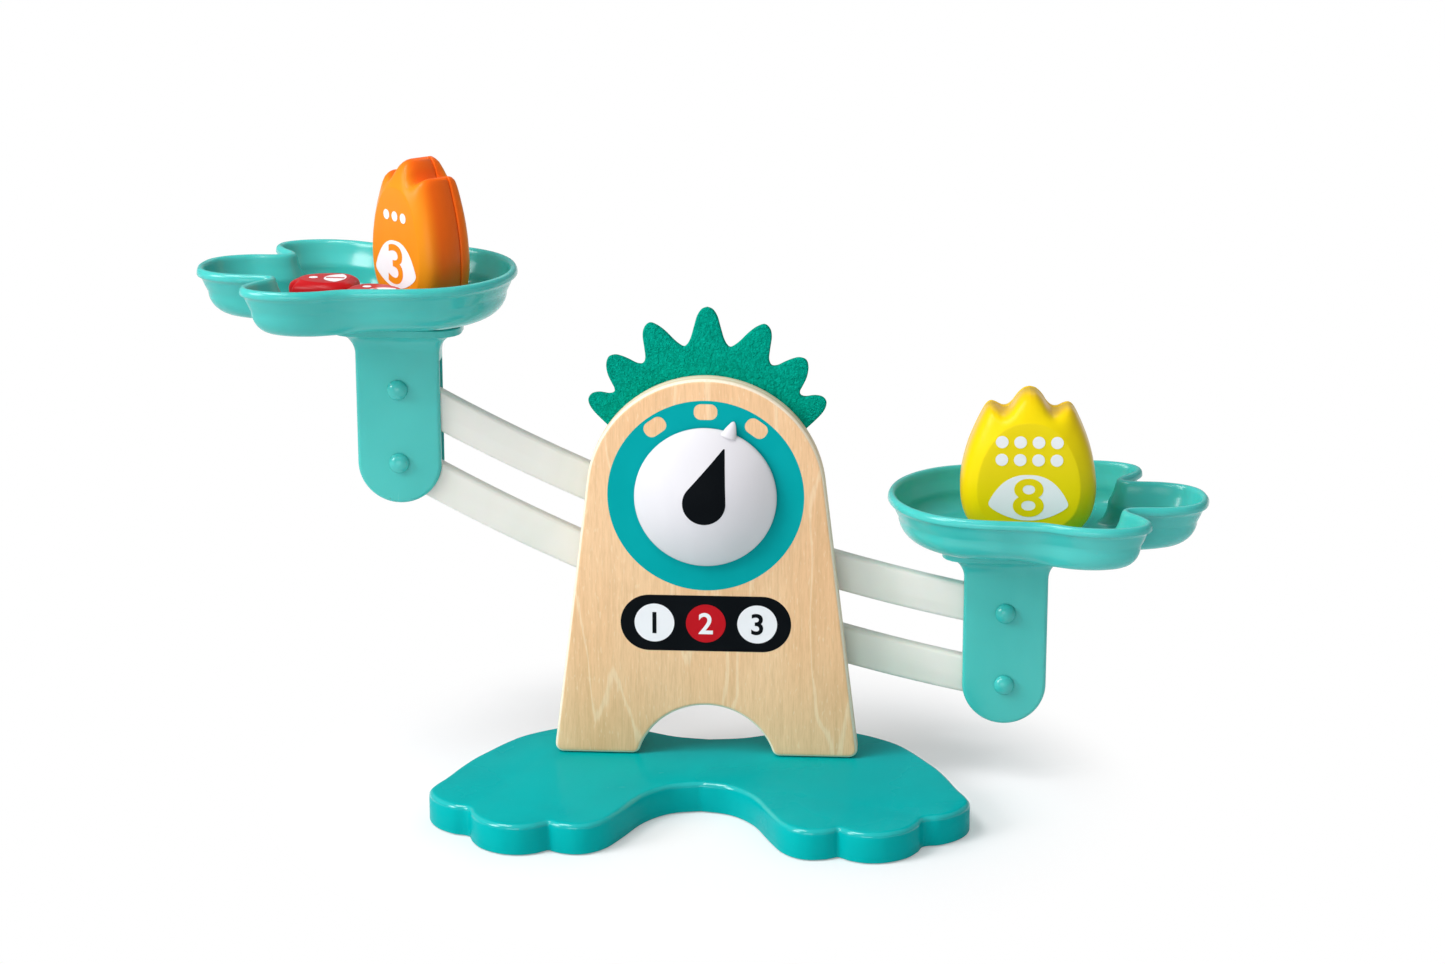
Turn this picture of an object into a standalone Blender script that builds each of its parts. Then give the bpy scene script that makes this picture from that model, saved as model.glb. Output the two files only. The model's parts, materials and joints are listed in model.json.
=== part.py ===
"""Math balance: a wooden toy scale whose two clover pans stay level on a parallel linkage.

Frame: X to the right, Y away from the viewer, Z up, metres.  The origin is on the
surface the base stands on, in the middle of the base's width, under the front panel's
front face.  The balance is shown tipped, with the left pan up against its stop.
"""
import math

import bmesh
import bpy
from mathutils import Matrix, Vector

# ---------------------------------------------------------------- clearances
GAP = 0.0003                # between pieces that touch or are glued
TURN_GAP = 0.0003           # round a pin or shaft that turns
OPEN_PIVOT_GAP = 0.0006     # round the lower hanger pins, where the linkage is opened
OVERRUN = 0.004             # how far a cutter runs past what it cuts

# ---------------------------------------------------------------- linkage
PIVOT_HEIGHT = 0.1125       # upper pivot above the base board's top
LINK_SPACING = 0.031        # upper pivot to lower pivot, and upper pin to lower pin
ARM_LENGTH = 0.133          # pivot to hanger pin along the beam
PIN_DROP = 0.0055           # hanger pins below the pivot when the beam is level
TILT = math.radians(20)     # the beam's greatest tilt to either side

# ---------------------------------------------------------------- base board
BASE_WIDTH = 0.2190
BASE_THICKNESS = 0.013
BASE_TOP_ROUND = 0.0022

# ---------------------------------------------------------------- panels
PANEL_THICKNESS = 0.009
PANEL_EDGE_ROUND = 0.0018
PANEL_TOP_RADIUS = 0.049
PANEL_FOOT_WIDTH = 0.1268
PANEL_CORNER_RADIUS = 0.0035
LEG_ARCH_RADIUS = 0.0293
LEG_ARCH_HEIGHT = 0.022
PANEL_SPACING = 0.012       # free depth between the two panels, where the beams swing
REAR_INSET = 0.005          # how much smaller the rear panel is all round
CREST_THICKNESS = 0.003
CREST_TUCK = 0.0110         # how far the felt reaches down behind the panel's head
CREST_SPACER_WIDTH = 0.0105
CREST_SPACER_EDGE = 0.0025  # how far the spacer stays inside the rear panel's edge
CREST_SPACER_HALF_ANGLE = math.radians(54)
LEG_SPACER_WIDTH = 0.017
LEG_SPACER_HEIGHT = 0.020

# ---------------------------------------------------------------- panel screws
SCREW_RADIUS = 0.00175
SCREW_HEAD_RADIUS = 0.0035
SCREW_HEAD_HEIGHT = 0.0022
SCREW_LENGTH = 0.030
SCREW_RECESS = 0.0008       # head sunk below the board's underside

# ---------------------------------------------------------------- beams
BEAM_DEPTH = 0.0156         # height of the bar
BEAM_THICKNESS = 0.0064
BEAM_EDGE_ROUND = 0.0016
BEAM_SAG = 0.0168           # bar's middle line below its pivot
UPPER_HUB_RADIUS = 0.0105
LOWER_HUB_RADIUS = 0.0062
HUB_GAP = 0.0014            # between the upper beam and the lower beam's hub
UPPER_RELIEF_STEPS = 9

# ---------------------------------------------------------------- pivots
SHAFT_RADIUS = 0.003
SHAFT_TAIL = 0.0024         # shaft past the rear panel
BUSH_WALL = 0.002
BUSH_FLANGE = 0.003
LOWER_PIVOT_RADIUS = 0.002
LOWER_PIVOT_SEAT = 0.005    # how deep it is held in each panel
LOWER_WASHER_WALL = 0.0022
CAP_RADIUS = 0.0075
CAP_HEIGHT = 0.0042
STOP_PIN_RADIUS = 0.0022
STOP_PIN_SEAT = 0.005
STOP_PIN_REACH = 0.034      # where the beam's top edge meets the pin, from the pivot

# ---------------------------------------------------------------- dome pointer
DOME_RADIUS = 0.0291
DOME_HEIGHT = 0.0115
DOME_RIM = 0.0018
DOME_WALL = 0.0022
DOME_STAND_OFF = 0.0008
DOME_BOSS_RADIUS = 0.0065
SPUR_TIP = 0.0340           # from the pivot
SPUR_WIDTH = 0.0068
SPUR_HEIGHT = 0.0040

# ---------------------------------------------------------------- hangers
HANGER_WIDTH = 0.0346
HANGER_WALL = 0.0020
HANGER_SIDE_GAP = 0.0006    # between the beam and each plate
HANGER_CHANNEL_TOP = 0.012  # above the upper pin
NECK_TOP = 0.0148
COLLAR_BASE = 0.0238
COLLAR_TOP = 0.0268
COLLAR_LENGTH = 0.0530
COLLAR_DEPTH = 0.0270
COLLAR_CORNER = 0.0100
PLUG_INSET = 0.0024
PIN_RADIUS = 0.0020
PIN_HEAD_RADIUS = 0.0042
PIN_HEAD_HEIGHT = 0.0030

# ---------------------------------------------------------------- pans
PAN_REACH = 0.082           # hanger axis to the tip of the long lobe
PAN_FLOOR_HEIGHT = 0.0305   # underside of the floor above the upper pin
PAN_HEIGHT = 0.0200
PAN_FLOOR = 0.0020
PAN_WALL = 0.0020
PAN_FLOOR_ROUND = 0.0080
PAN_FOOT_INSET = 0.0064     # the wall's inner foot in from the rim
PAN_BEAD = 0.0036           # rolled rim's width
PAN_BEAD_HEIGHT = 0.0036
PAN_SKIRT_WALL = 0.0020

# ---------------------------------------------------------------- weights
WEIGHT_WALL = 0.0018
WEIGHT_BACK_SHARE = 0.30    # of its thickness that the back shell takes
LARGE_WIDTH = 0.0555
LARGE_HEIGHT = 0.0610
LARGE_THICKNESS = 0.0270
LARGE_SLUG_RADIUS = 0.0120
MIDDLE_WIDTH = 0.0450
MIDDLE_HEIGHT = 0.0620
MIDDLE_THICKNESS = 0.0240
MIDDLE_SLUG_RADIUS = 0.0062
SMALL_WIDTH = 0.0240
SMALL_HEIGHT = 0.0285
SMALL_THICKNESS = 0.0125
SMALL_SLUG_RADIUS = 0.0046
LARGE_WEIGHT_OUT = 0.0080
LARGE_WEIGHT_BACK = 0.0000
MIDDLE_WEIGHT_IN = 0.0095
MIDDLE_WEIGHT_BACK = 0.0028
MIDDLE_WEIGHT_TURN = math.radians(-48)
NEAR_SMALL_IN = -0.0072
NEAR_SMALL_FORWARD = 0.0182
NEAR_SMALL_TURN = math.radians(42)
FAR_SMALL_OUT = 0.0305
FAR_SMALL_FORWARD = 0.0000
FAR_SMALL_TURN = math.radians(86)

# ---------------------------------------------------------------- facets
ARC_STEPS = 4               # segments in a quarter circle of an outline
ROUND_SIDES = 16            # sides of a pin or a bore
SMALL_SIDES = 12            # sides of a screw or a pin's head
DOME_SIDES = 40
DOME_HOLLOW_RINGS = 2       # inside the shell, where nothing shows
DOME_RINGS = 4
TOP_ARC_STEPS = 28          # panel's semicircular head
BAR_STEPS = 14              # along a beam

# Half of the base board's outline, from its front hollow round one three-toed foot to
# its back hollow, in shares of the board's width.
BASE_SHARES = (
    (0.000, -0.141), (0.055, -0.157), (0.100, -0.205), (0.132, -0.279), (0.157, -0.332),
    (0.184, -0.360), (0.211, -0.369), (0.238, -0.365), (0.254, -0.357), (0.262, -0.352),
    (0.270, -0.357), (0.286, -0.369), (0.315, -0.378), (0.351, -0.373), (0.386, -0.350),
    (0.406, -0.319), (0.412, -0.301), (0.417, -0.292), (0.427, -0.287), (0.446, -0.282),
    (0.473, -0.262), (0.492, -0.235), (0.500, -0.206), (0.494, -0.178),
    (0.479, -0.141), (0.460, -0.084), (0.441, -0.036), (0.421, 0.002), (0.393, 0.052),
    (0.364, 0.093), (0.327, 0.125), (0.286, 0.150), (0.236, 0.166), (0.182, 0.164),
    (0.127, 0.141), (0.064, 0.111), (0.000, 0.100))

# Half of the felt crest's spiky edge from its middle tip down to its corner, measured
# from the upper pivot in shares of the panel's top radius.
CREST_SHARES = (
    (0.000, 1.563), (0.046, 1.544), (0.084, 1.487), (0.109, 1.401), (0.138, 1.299),
    (0.167, 1.244), (0.201, 1.228), (0.267, 1.274), (0.343, 1.350), (0.410, 1.401),
    (0.476, 1.424), (0.522, 1.384), (0.535, 1.316), (0.522, 1.214), (0.514, 1.129),
    (0.535, 1.078), (0.585, 1.078), (0.644, 1.107), (0.711, 1.135), (0.769, 1.146),
    (0.823, 1.124), (0.840, 1.061), (0.828, 0.984), (0.798, 0.916), (0.773, 0.865),
    (0.777, 0.828), (0.819, 0.815), (0.894, 0.825), (0.957, 0.813), (0.991, 0.771),
    (0.978, 0.711), (0.928, 0.643), (0.815, 0.532))

# The clover pan: angle from the long lobe in degrees, then how far the rim and the edge
# of the flat floor stand from the hanger's axis, in shares of the long lobe's reach.
PAN_SHARES = (
    (0.0, 1.000, 0.800), (7.0, 0.982, 0.775), (12.5, 0.925, 0.675), (17.5, 0.820, 0.565),
    (21.0, 0.708, 0.515), (24.5, 0.654, 0.497), (27.5, 0.680, 0.505), (30.5, 0.765, 0.552),
    (34.0, 0.836, 0.622), (38.5, 0.866, 0.682), (43.5, 0.858, 0.690), (50.0, 0.818, 0.655),
    (57.0, 0.755, 0.592), (64.0, 0.677, 0.512), (71.5, 0.594, 0.430), (80.0, 0.552, 0.378),
    (92.0, 0.538, 0.358), (108.0, 0.549, 0.365), (128.0, 0.579, 0.395),
    (152.0, 0.596, 0.410), (180.0, 0.600, 0.413))

# Half of a weight's front outline from the middle of its crown to the middle of its
# foot: across in shares of its width, up in shares of its height.
WEIGHT_SHARES = (
    (0.000, 1.000), (0.045, 0.988), (0.090, 0.948), (0.128, 0.895), (0.165, 0.864),
    (0.205, 0.866), (0.250, 0.889), (0.288, 0.896), (0.322, 0.872), (0.358, 0.812),
    (0.400, 0.728), (0.448, 0.612), (0.486, 0.470), (0.499, 0.330), (0.480, 0.205),
    (0.432, 0.110), (0.350, 0.035), (0.240, 0.000), (0.000, 0.000))

# How a weight's edge rounds off: how far out from its middle, and how deep behind its
# flat front, as shares of its outline and of its rounding depth.
WEIGHT_EDGE_SHARES = ((0.79, 0.00), (0.93, 0.24), (1.00, 1.00))
WEIGHT_ROUND_SHARE = 0.36       # rounding depth, of the thickness
WEIGHT_BACK_ROUND_SHARE = 0.26
WEIGHT_MIDDLE_SHARE = 0.45      # height of the point its outline is drawn in towards

# The hanger's flare: up in shares of its height, out in shares of its spread.
HANGER_FLARE_SHARES = ((0.00, 0.00), (0.45, 0.11), (0.78, 0.38), (1.00, 1.00))

# The rolled rim's section: in from its outer edge in shares of its width, up in shares of
# its height.
PAN_BEAD_SHARES = ((0.00, 0.35), (0.28, 1.00), (0.72, 1.00), (1.00, 0.50))

# The rounding at the foot of the pan's wall: in from the wall's foot to the flat floor's
# edge, and up in shares of its radius.
PAN_ROUND_SHARES = ((1.00, 0.00), (0.50, 0.134), (0.134, 0.50), (0.00, 1.00))

# The spur's outline: across in shares of its width, out in shares of its length.
SPUR_SHARES = (
    (0.50, 0.00), (0.40, 0.32), (0.27, 0.62), (0.13, 0.88), (0.00, 1.00),
    (-0.13, 0.88), (-0.27, 0.62), (-0.40, 0.32), (-0.50, 0.00))

BASE_TOP = BASE_THICKNESS
ARCH_DROP = LEG_ARCH_RADIUS - LEG_ARCH_HEIGHT       # its centre below the base's top
ARCH_HALF_WIDTH = math.sqrt(LEG_ARCH_RADIUS ** 2 - ARCH_DROP ** 2)
LEG_MIDDLE = (ARCH_HALF_WIDTH + PANEL_FOOT_WIDTH / 2) / 2
PANEL_FOOT = BASE_TOP + GAP
PIVOT_Z = BASE_TOP + PIVOT_HEIGHT
FRONT_FACE = 0.0
FRONT_BACK = FRONT_FACE + PANEL_THICKNESS
REAR_FACE = FRONT_BACK + PANEL_SPACING
REAR_BACK = REAR_FACE + PANEL_THICKNESS
BEAM_Y = FRONT_BACK + PANEL_SPACING / 2
BEAM_FRONT = BEAM_Y - BEAM_THICKNESS / 2
BEAM_BACK = BEAM_Y + BEAM_THICKNESS / 2
HANGER_DEPTH = BEAM_THICKNESS + 2 * (HANGER_SIDE_GAP + HANGER_WALL)
HANGER_FRONT = BEAM_Y - HANGER_DEPTH / 2
HANGER_BACK = BEAM_Y + HANGER_DEPTH / 2
PAN_RIM = PAN_FLOOR_HEIGHT + PAN_HEIGHT
PAN_FLOOR_TOP = PAN_FLOOR_HEIGHT + PAN_FLOOR
CREST_INNER_RADIUS = PANEL_TOP_RADIUS - CREST_TUCK
CREST_SPACER_OUTER_RADIUS = PANEL_TOP_RADIUS - REAR_INSET - CREST_SPACER_EDGE
CREST_SPACER_INNER_RADIUS = CREST_SPACER_OUTER_RADIUS - CREST_SPACER_WIDTH
LARGE_WEIGHT = (LARGE_WIDTH, LARGE_HEIGHT, LARGE_THICKNESS, LARGE_SLUG_RADIUS)
MIDDLE_WEIGHT = (MIDDLE_WIDTH, MIDDLE_HEIGHT, MIDDLE_THICKNESS, MIDDLE_SLUG_RADIUS)
SMALL_WEIGHT = (SMALL_WIDTH, SMALL_HEIGHT, SMALL_THICKNESS, SMALL_SLUG_RADIUS)


# ================================================================ materials
def make_material(name, colour, roughness, metallic=0.0):
    """Return a Principled material from an sRGB colour in 0-255."""
    material = bpy.data.materials.new(name)
    material.use_nodes = True
    shader = material.node_tree.nodes["Principled BSDF"]
    linear = [((c / 255 + 0.055) / 1.055) ** 2.4 if c > 10 else c / 255 / 12.92 for c in colour]
    shader.inputs["Base Color"].default_value = (*linear, 1.0)
    shader.inputs["Roughness"].default_value = roughness
    shader.inputs["Metallic"].default_value = metallic
    material.diffuse_color = (*linear, 1.0)
    return material


# ================================================================ outlines
def smooth_open(points, steps):
    """Return a Catmull-Rom curve through the points, ends included."""
    result = []
    last = len(points) - 1
    for i in range(last):
        p0 = points[max(i - 1, 0)]
        p1, p2 = points[i], points[i + 1]
        p3 = points[min(i + 2, last)]
        for s in range(steps):
            t = s / steps
            result.append(tuple(
                0.5 * (2 * b + (c - a) * t + (2 * a - 5 * b + 4 * c - d) * t * t
                       + (3 * b - a - 3 * c + d) * t ** 3)
                for a, b, c, d in zip(p0, p1, p2, p3)))
    result.append(tuple(points[-1]))
    return result


def mirrored(half):
    """Close a half outline whose ends lie on the middle line."""
    return list(half) + [(-x, y) for x, y in reversed(half[1:-1])]


def arc(centre, radius, start, end, steps):
    """Return points on an arc from one angle to another, both included."""
    return [(centre[0] + radius * math.cos(start + (end - start) * i / steps),
             centre[1] + radius * math.sin(start + (end - start) * i / steps))
            for i in range(steps + 1)]


def circle(radius, sides=ROUND_SIDES, centre=(0.0, 0.0)):
    """Return a full circle's points."""
    return arc(centre, radius, 0, 2 * math.pi, sides)[:-1]


def rounded_corner(before, corner, after, radius, steps=ARC_STEPS):
    """Return the arc that rounds one corner of a polygon."""
    corner = Vector(corner)
    a = (Vector(before) - corner).normalized()
    b = (Vector(after) - corner).normalized()
    half = a.angle(b) / 2
    reach = radius / math.tan(half)
    middle = corner + (a + b).normalized() * (radius / math.sin(half))
    first, last = corner + a * reach - middle, corner + b * reach - middle
    turn = first.angle_signed(last)
    return [tuple(middle + Matrix.Rotation(-turn * i / steps, 2) @ first)
            for i in range(steps + 1)]


def rounded_rectangle(length, depth, radius, steps=ARC_STEPS):
    """Return a rectangle with round corners, centred on the origin."""
    x, y = length / 2 - radius, depth / 2 - radius
    points = []
    for k, (cx, cy) in enumerate(((x, y), (-x, y), (-x, -y), (x, -y))):
        points += arc((cx, cy), radius, k * math.pi / 2, (k + 1) * math.pi / 2, steps)
    return points


def inset(points, distance):
    """Move a closed anticlockwise outline inwards along its own normals."""
    result = []
    count = len(points)
    for i in range(count):
        before, here, after = (Vector(points[(i + k) % count]) for k in (-1, 0, 1))
        a, b = (here - before).normalized(), (after - here).normalized()
        normal = Vector((-(a.y + b.y), a.x + b.x)).normalized()
        stretch = 1 / max(0.6, math.sqrt(max(0.0, (1 + a.dot(b)) / 2)))
        result.append(tuple(here + normal * (distance * stretch)))
    return result


def between(first, last, share):
    """Return the outline a share of the way from one outline to another."""
    return [tuple(Vector(a).lerp(Vector(b), share)) for a, b in zip(first, last)]


def anticlockwise(points):
    """Return the outline running anticlockwise."""
    area = sum(a[0] * b[1] - b[0] * a[1] for a, b in zip(points, points[1:] + points[:1]))
    return list(points) if area > 0 else list(reversed(points))


# ================================================================ solids
def loft(rings, flat=True):
    """Skin a stack of equal closed rings of 3-D points and cap both ends."""
    bm = bmesh.new()
    layers = [[bm.verts.new(p) for p in ring] for ring in rings]
    count = len(layers[0])
    for low, high in zip(layers, layers[1:]):
        for i in range(count):
            k = (i + 1) % count
            bm.faces.new((low[i], low[k], high[k], high[i]))
    bm.faces.new(list(reversed(layers[0])))
    bm.faces.new(layers[-1])
    bmesh.ops.recalc_face_normals(bm, faces=bm.faces)
    return bm


def plate(outline, low, high, low_round=0.0, high_round=0.0, upright=True, bands=2):
    """Extrude an outline between two depths, with its two edges rounded over."""
    outline = anticlockwise(outline)
    angles = [math.pi / 2 * i / bands for i in range(bands + 1)]
    levels = []
    for radius, level, way in ((low_round, low, 1), (high_round, high, -1)):
        if radius:
            steps = [(radius * (1 - math.sin(a)), level + way * radius * (1 - math.cos(a)))
                     for a in angles]
        else:
            steps = [(0.0, level)]
        levels += steps if way > 0 else list(reversed(steps))
    rings = []
    for distance, level in levels:
        points = inset(outline, distance) if distance else outline
        if upright:
            rings.append([(x, level, z) for x, z in points])
        else:
            rings.append([(x, y, level) for x, y in points])
    return loft(rings)


def turned(profile, sides=ROUND_SIDES, axis="Y"):
    """Turn a profile of (radius, place) pairs, from pole to pole, about an axis."""
    bm = bmesh.new()
    previous = None
    for radius, place in profile:
        if radius == 0:
            ring = [bm.verts.new((0, 0, place))]
        else:
            ring = [bm.verts.new((radius * math.cos(2 * math.pi * i / sides),
                                  radius * math.sin(2 * math.pi * i / sides), place))
                    for i in range(sides)]
        if previous:
            for i in range(sides):
                k = (i + 1) % sides
                if len(previous) == 1:
                    bm.faces.new((previous[0], ring[i], ring[k]))
                elif len(ring) == 1:
                    bm.faces.new((previous[i], previous[k], ring[0]))
                else:
                    bm.faces.new((previous[i], previous[k], ring[k], ring[i]))
        previous = ring
    bmesh.ops.recalc_face_normals(bm, faces=bm.faces)
    if axis == "Y":
        bmesh.ops.rotate(bm, verts=bm.verts, matrix=Matrix.Rotation(-math.pi / 2, 3, "X"))
    return bm


def rod(radius, low, high, sides=ROUND_SIDES, axis="Y"):
    """Return a plain round bar."""
    return turned(((0, low), (radius, low), (radius, high), (0, high)), sides, axis)


def tube(inner, outer, low, high, sides=ROUND_SIDES):
    """Return a plain ring along Y."""
    bm = bmesh.new()
    rings = []
    for radius, place in ((inner, low), (outer, low), (outer, high), (inner, high)):
        rings.append([bm.verts.new((x, place, z)) for x, z in circle(radius, sides)])
    for low_ring, high_ring in zip(rings, rings[1:] + rings[:1]):
        for i in range(sides):
            k = (i + 1) % sides
            bm.faces.new((low_ring[i], low_ring[k], high_ring[k], high_ring[i]))
    bmesh.ops.recalc_face_normals(bm, faces=bm.faces)
    return bm


def moved(bm, x=0.0, y=0.0, z=0.0):
    """Shift a mesh in place."""
    bmesh.ops.translate(bm, verts=bm.verts, vec=(x, y, z))
    return bm


def flipped(bm, side):
    """Mirror a mesh made for the right side when it is wanted on the left."""
    if side < 0:
        bmesh.ops.scale(bm, verts=bm.verts, vec=(-1, 1, 1))
        bmesh.ops.reverse_faces(bm, faces=bm.faces)
    return bm


def new_object(name, bm, material):
    """Turn a mesh under construction into a named object."""
    mesh = bpy.data.meshes.new(name)
    bm.to_mesh(mesh)
    bm.free()
    mesh.materials.append(material)
    thing = bpy.data.objects.new(name, mesh)
    bpy.context.scene.collection.objects.link(thing)
    return thing


def combine(thing, bm, operation):
    """Cut a mesh out of an object, or join it on, and keep the result."""
    tool = new_object(thing.name + "_tool", bm, thing.data.materials[0])
    modifier = thing.modifiers.new(operation, "BOOLEAN")
    modifier.operation = operation
    modifier.solver = "EXACT"
    modifier.object = tool
    bpy.context.view_layer.update()
    evaluated = thing.evaluated_get(bpy.context.evaluated_depsgraph_get())
    result = bpy.data.meshes.new_from_object(evaluated)
    thing.modifiers.clear()
    old = thing.data
    thing.data = result
    bpy.data.meshes.remove(old)
    tool_mesh = tool.data
    bpy.data.objects.remove(tool)
    bpy.data.meshes.remove(tool_mesh)
    return thing


def cut(thing, bm):
    """Cut a mesh out of an object."""
    return combine(thing, bm, "DIFFERENCE")


def join(thing, bm):
    """Join a mesh onto an object."""
    return combine(thing, bm, "UNION")


def new_axis(name, place, tilt=0.0, turn=0.0, parent=None):
    """Add an empty that carries a moving body."""
    empty = bpy.data.objects.new(name, None)
    empty.empty_display_size = SHAFT_RADIUS
    empty.location = place
    empty.rotation_euler = (0, tilt, turn)
    empty.parent = parent
    bpy.context.scene.collection.objects.link(empty)
    return empty


# ================================================================ wooden frame
def panel_outline(shrink):
    """Return an arch with a round head, leaning sides and two legs."""
    radius = PANEL_TOP_RADIUS - shrink
    centre = (0.0, PIVOT_Z)
    half_foot = PANEL_FOOT_WIDTH / 2 - shrink
    foot = Vector((half_foot, PANEL_FOOT))
    to_centre = Vector(centre) - foot
    lean = math.atan2(-to_centre.x, to_centre.y) - math.asin(radius / to_centre.length)
    start = lean                            # where the side meets the head, from +X
    head = arc(centre, radius, start, math.pi / 2, TOP_ARC_STEPS // 2)
    arch_radius = LEG_ARCH_RADIUS + shrink
    arch_centre = (0.0, BASE_TOP - ARCH_DROP)
    inner = math.asin((PANEL_FOOT - arch_centre[1]) / arch_radius)
    arch = arc(arch_centre, arch_radius, math.pi / 2, inner, TOP_ARC_STEPS // 4)
    inner_foot = arch[-1]
    inside = rounded_corner(arch[-2], inner_foot, tuple(foot), PANEL_CORNER_RADIUS, 3)
    outside = rounded_corner(inner_foot, tuple(foot), head[0], PANEL_CORNER_RADIUS, 3)
    half = arch[:-1] + inside + outside + head
    return mirrored(half)


def build_panels(wood):
    """Make the front and rear panels with their bores."""
    front = new_object("front_panel", plate(panel_outline(0.0), FRONT_FACE, FRONT_BACK,
                                            PANEL_EDGE_ROUND, PANEL_EDGE_ROUND), wood)
    rear = new_object("rear_panel", plate(panel_outline(REAR_INSET), REAR_FACE, REAR_BACK,
                                          PANEL_EDGE_ROUND, PANEL_EDGE_ROUND, bands=1), wood)
    bush_hole = SHAFT_RADIUS + TURN_GAP + BUSH_WALL + GAP
    for panel, near, far, inner in ((front, FRONT_FACE, FRONT_BACK, FRONT_BACK),
                                    (rear, REAR_FACE, REAR_BACK, REAR_FACE)):
        cut(panel, moved(rod(bush_hole, near - OVERRUN, far + OVERRUN), z=PIVOT_Z))
        blind = LOWER_PIVOT_SEAT + GAP
        cut(panel, moved(rod(LOWER_PIVOT_RADIUS + GAP, inner - blind, inner + blind),
                         z=PIVOT_Z - LINK_SPACING))
        blind = STOP_PIN_SEAT + GAP
        for side in (-1, 1):
            x, z = stop_pin_place(side)
            cut(panel, moved(rod(STOP_PIN_RADIUS + GAP, inner - blind, inner + blind), x=x, z=z))
            cut(panel, moved(rod(SCREW_RADIUS + GAP, -OVERRUN, screw_top() + GAP,
                                 SMALL_SIDES, "Z"), x=side * LEG_MIDDLE, y=(near + far) / 2))
    return front, rear


def screw_top():
    """Return the height of a panel screw's tip."""
    return SCREW_RECESS + SCREW_LENGTH


def build_base(paint):
    """Make the base board, two three-toed feet cut from one board."""
    half = smooth_open([(x * BASE_WIDTH, y * BASE_WIDTH) for x, y in BASE_SHARES], 2)
    board = new_object("base_board", plate(mirrored(half), 0.0, BASE_TOP, 0.0,
                                           BASE_TOP_ROUND, upright=False), paint)
    for y in (FRONT_FACE + PANEL_THICKNESS / 2, REAR_FACE + PANEL_THICKNESS / 2):
        for side in (-1, 1):
            head = SCREW_HEAD_RADIUS + GAP
            sink = SCREW_RECESS + SCREW_HEAD_HEIGHT
            neck = SCREW_RADIUS + GAP
            hole = turned(((0, -OVERRUN), (head, -OVERRUN), (head, SCREW_RECESS), (neck, sink),
                           (neck, BASE_TOP + OVERRUN), (0, BASE_TOP + OVERRUN)),
                          SMALL_SIDES, "Z")
            cut(board, moved(hole, x=side * LEG_MIDDLE, y=y))
    return board


def build_screws(steel):
    """Make the four countersunk screws that hold the panels to the board."""
    for row, y in (("front", FRONT_FACE + PANEL_THICKNESS / 2),
                   ("rear", REAR_FACE + PANEL_THICKNESS / 2)):
        for side, word in ((-1, "left"), (1, "right")):
            low = SCREW_RECESS
            profile = ((0, low), (SCREW_HEAD_RADIUS, low),
                       (SCREW_RADIUS, low + SCREW_HEAD_HEIGHT),
                       (SCREW_RADIUS, screw_top() - SCREW_RADIUS), (0, screw_top()))
            screw = new_object(f"panel_screw_{row}_{word}", turned(profile, SMALL_SIDES, "Z"),
                               steel)
            screw.location = (side * LEG_MIDDLE, y, 0)


def build_crest(felt, wood):
    """Make the felt crest behind the front panel and the wooden spacer behind it."""
    half = smooth_open([(x * PANEL_TOP_RADIUS, PIVOT_Z + z * PANEL_TOP_RADIUS)
                        for x, z in CREST_SHARES], 2)
    corner = Vector((half[-1][0], half[-1][1] - PIVOT_Z))
    angle = math.atan2(corner.y, corner.x)
    under = arc((0, PIVOT_Z), CREST_INNER_RADIUS, angle, math.pi / 2, TOP_ARC_STEPS // 4)
    outline = half + under
    outline = outline + [(-x, z) for x, z in reversed(outline[1:-1])]
    low = FRONT_BACK + GAP
    new_object("felt_crest", plate(outline, low, low + CREST_THICKNESS), felt)
    low += CREST_THICKNESS + GAP
    first = math.pi / 2 - CREST_SPACER_HALF_ANGLE
    last = math.pi / 2 + CREST_SPACER_HALF_ANGLE
    ring = (arc((0, PIVOT_Z), CREST_SPACER_OUTER_RADIUS, first, last, TOP_ARC_STEPS // 2)
            + arc((0, PIVOT_Z), CREST_SPACER_INNER_RADIUS, last, first, TOP_ARC_STEPS // 2))
    new_object("crest_spacer", plate(ring, low, REAR_FACE - GAP), wood)


def build_leg_spacers(wood):
    """Make the two blocks that hold the panels apart at their legs."""
    for side, word in ((-1, "left"), (1, "right")):
        x = side * LEG_MIDDLE
        low, high = PANEL_FOOT, PANEL_FOOT + LEG_SPACER_HEIGHT
        outline = [(x - LEG_SPACER_WIDTH / 2, low), (x + LEG_SPACER_WIDTH / 2, low),
                   (x + LEG_SPACER_WIDTH / 2, high), (x - LEG_SPACER_WIDTH / 2, high)]
        new_object(f"leg_spacer_{word}", plate(outline, FRONT_BACK + GAP, REAR_FACE - GAP), wood)


# ================================================================ pivots and stops
def beam_line(x):
    """Return the height of the bar's middle line from its pivot, at a distance along it."""
    return -BEAM_SAG + (BEAM_SAG - PIN_DROP) * (x / ARM_LENGTH) ** 2


def tilted(x, z, tilt=TILT):
    """Turn a place on a level beam to the beam's tilt, left side up."""
    return (x * math.cos(tilt) + z * math.sin(tilt), -x * math.sin(tilt) + z * math.cos(tilt))


def stop_pin_place(side):
    """Return where a stop pin stands, just off the tilted beam's top edge."""
    top = beam_line(STOP_PIN_REACH) + BEAM_DEPTH / 2
    x, z = tilted(-STOP_PIN_REACH, top + STOP_PIN_RADIUS + GAP)
    return -side * x if side < 0 else -x, PIVOT_Z + z


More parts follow.
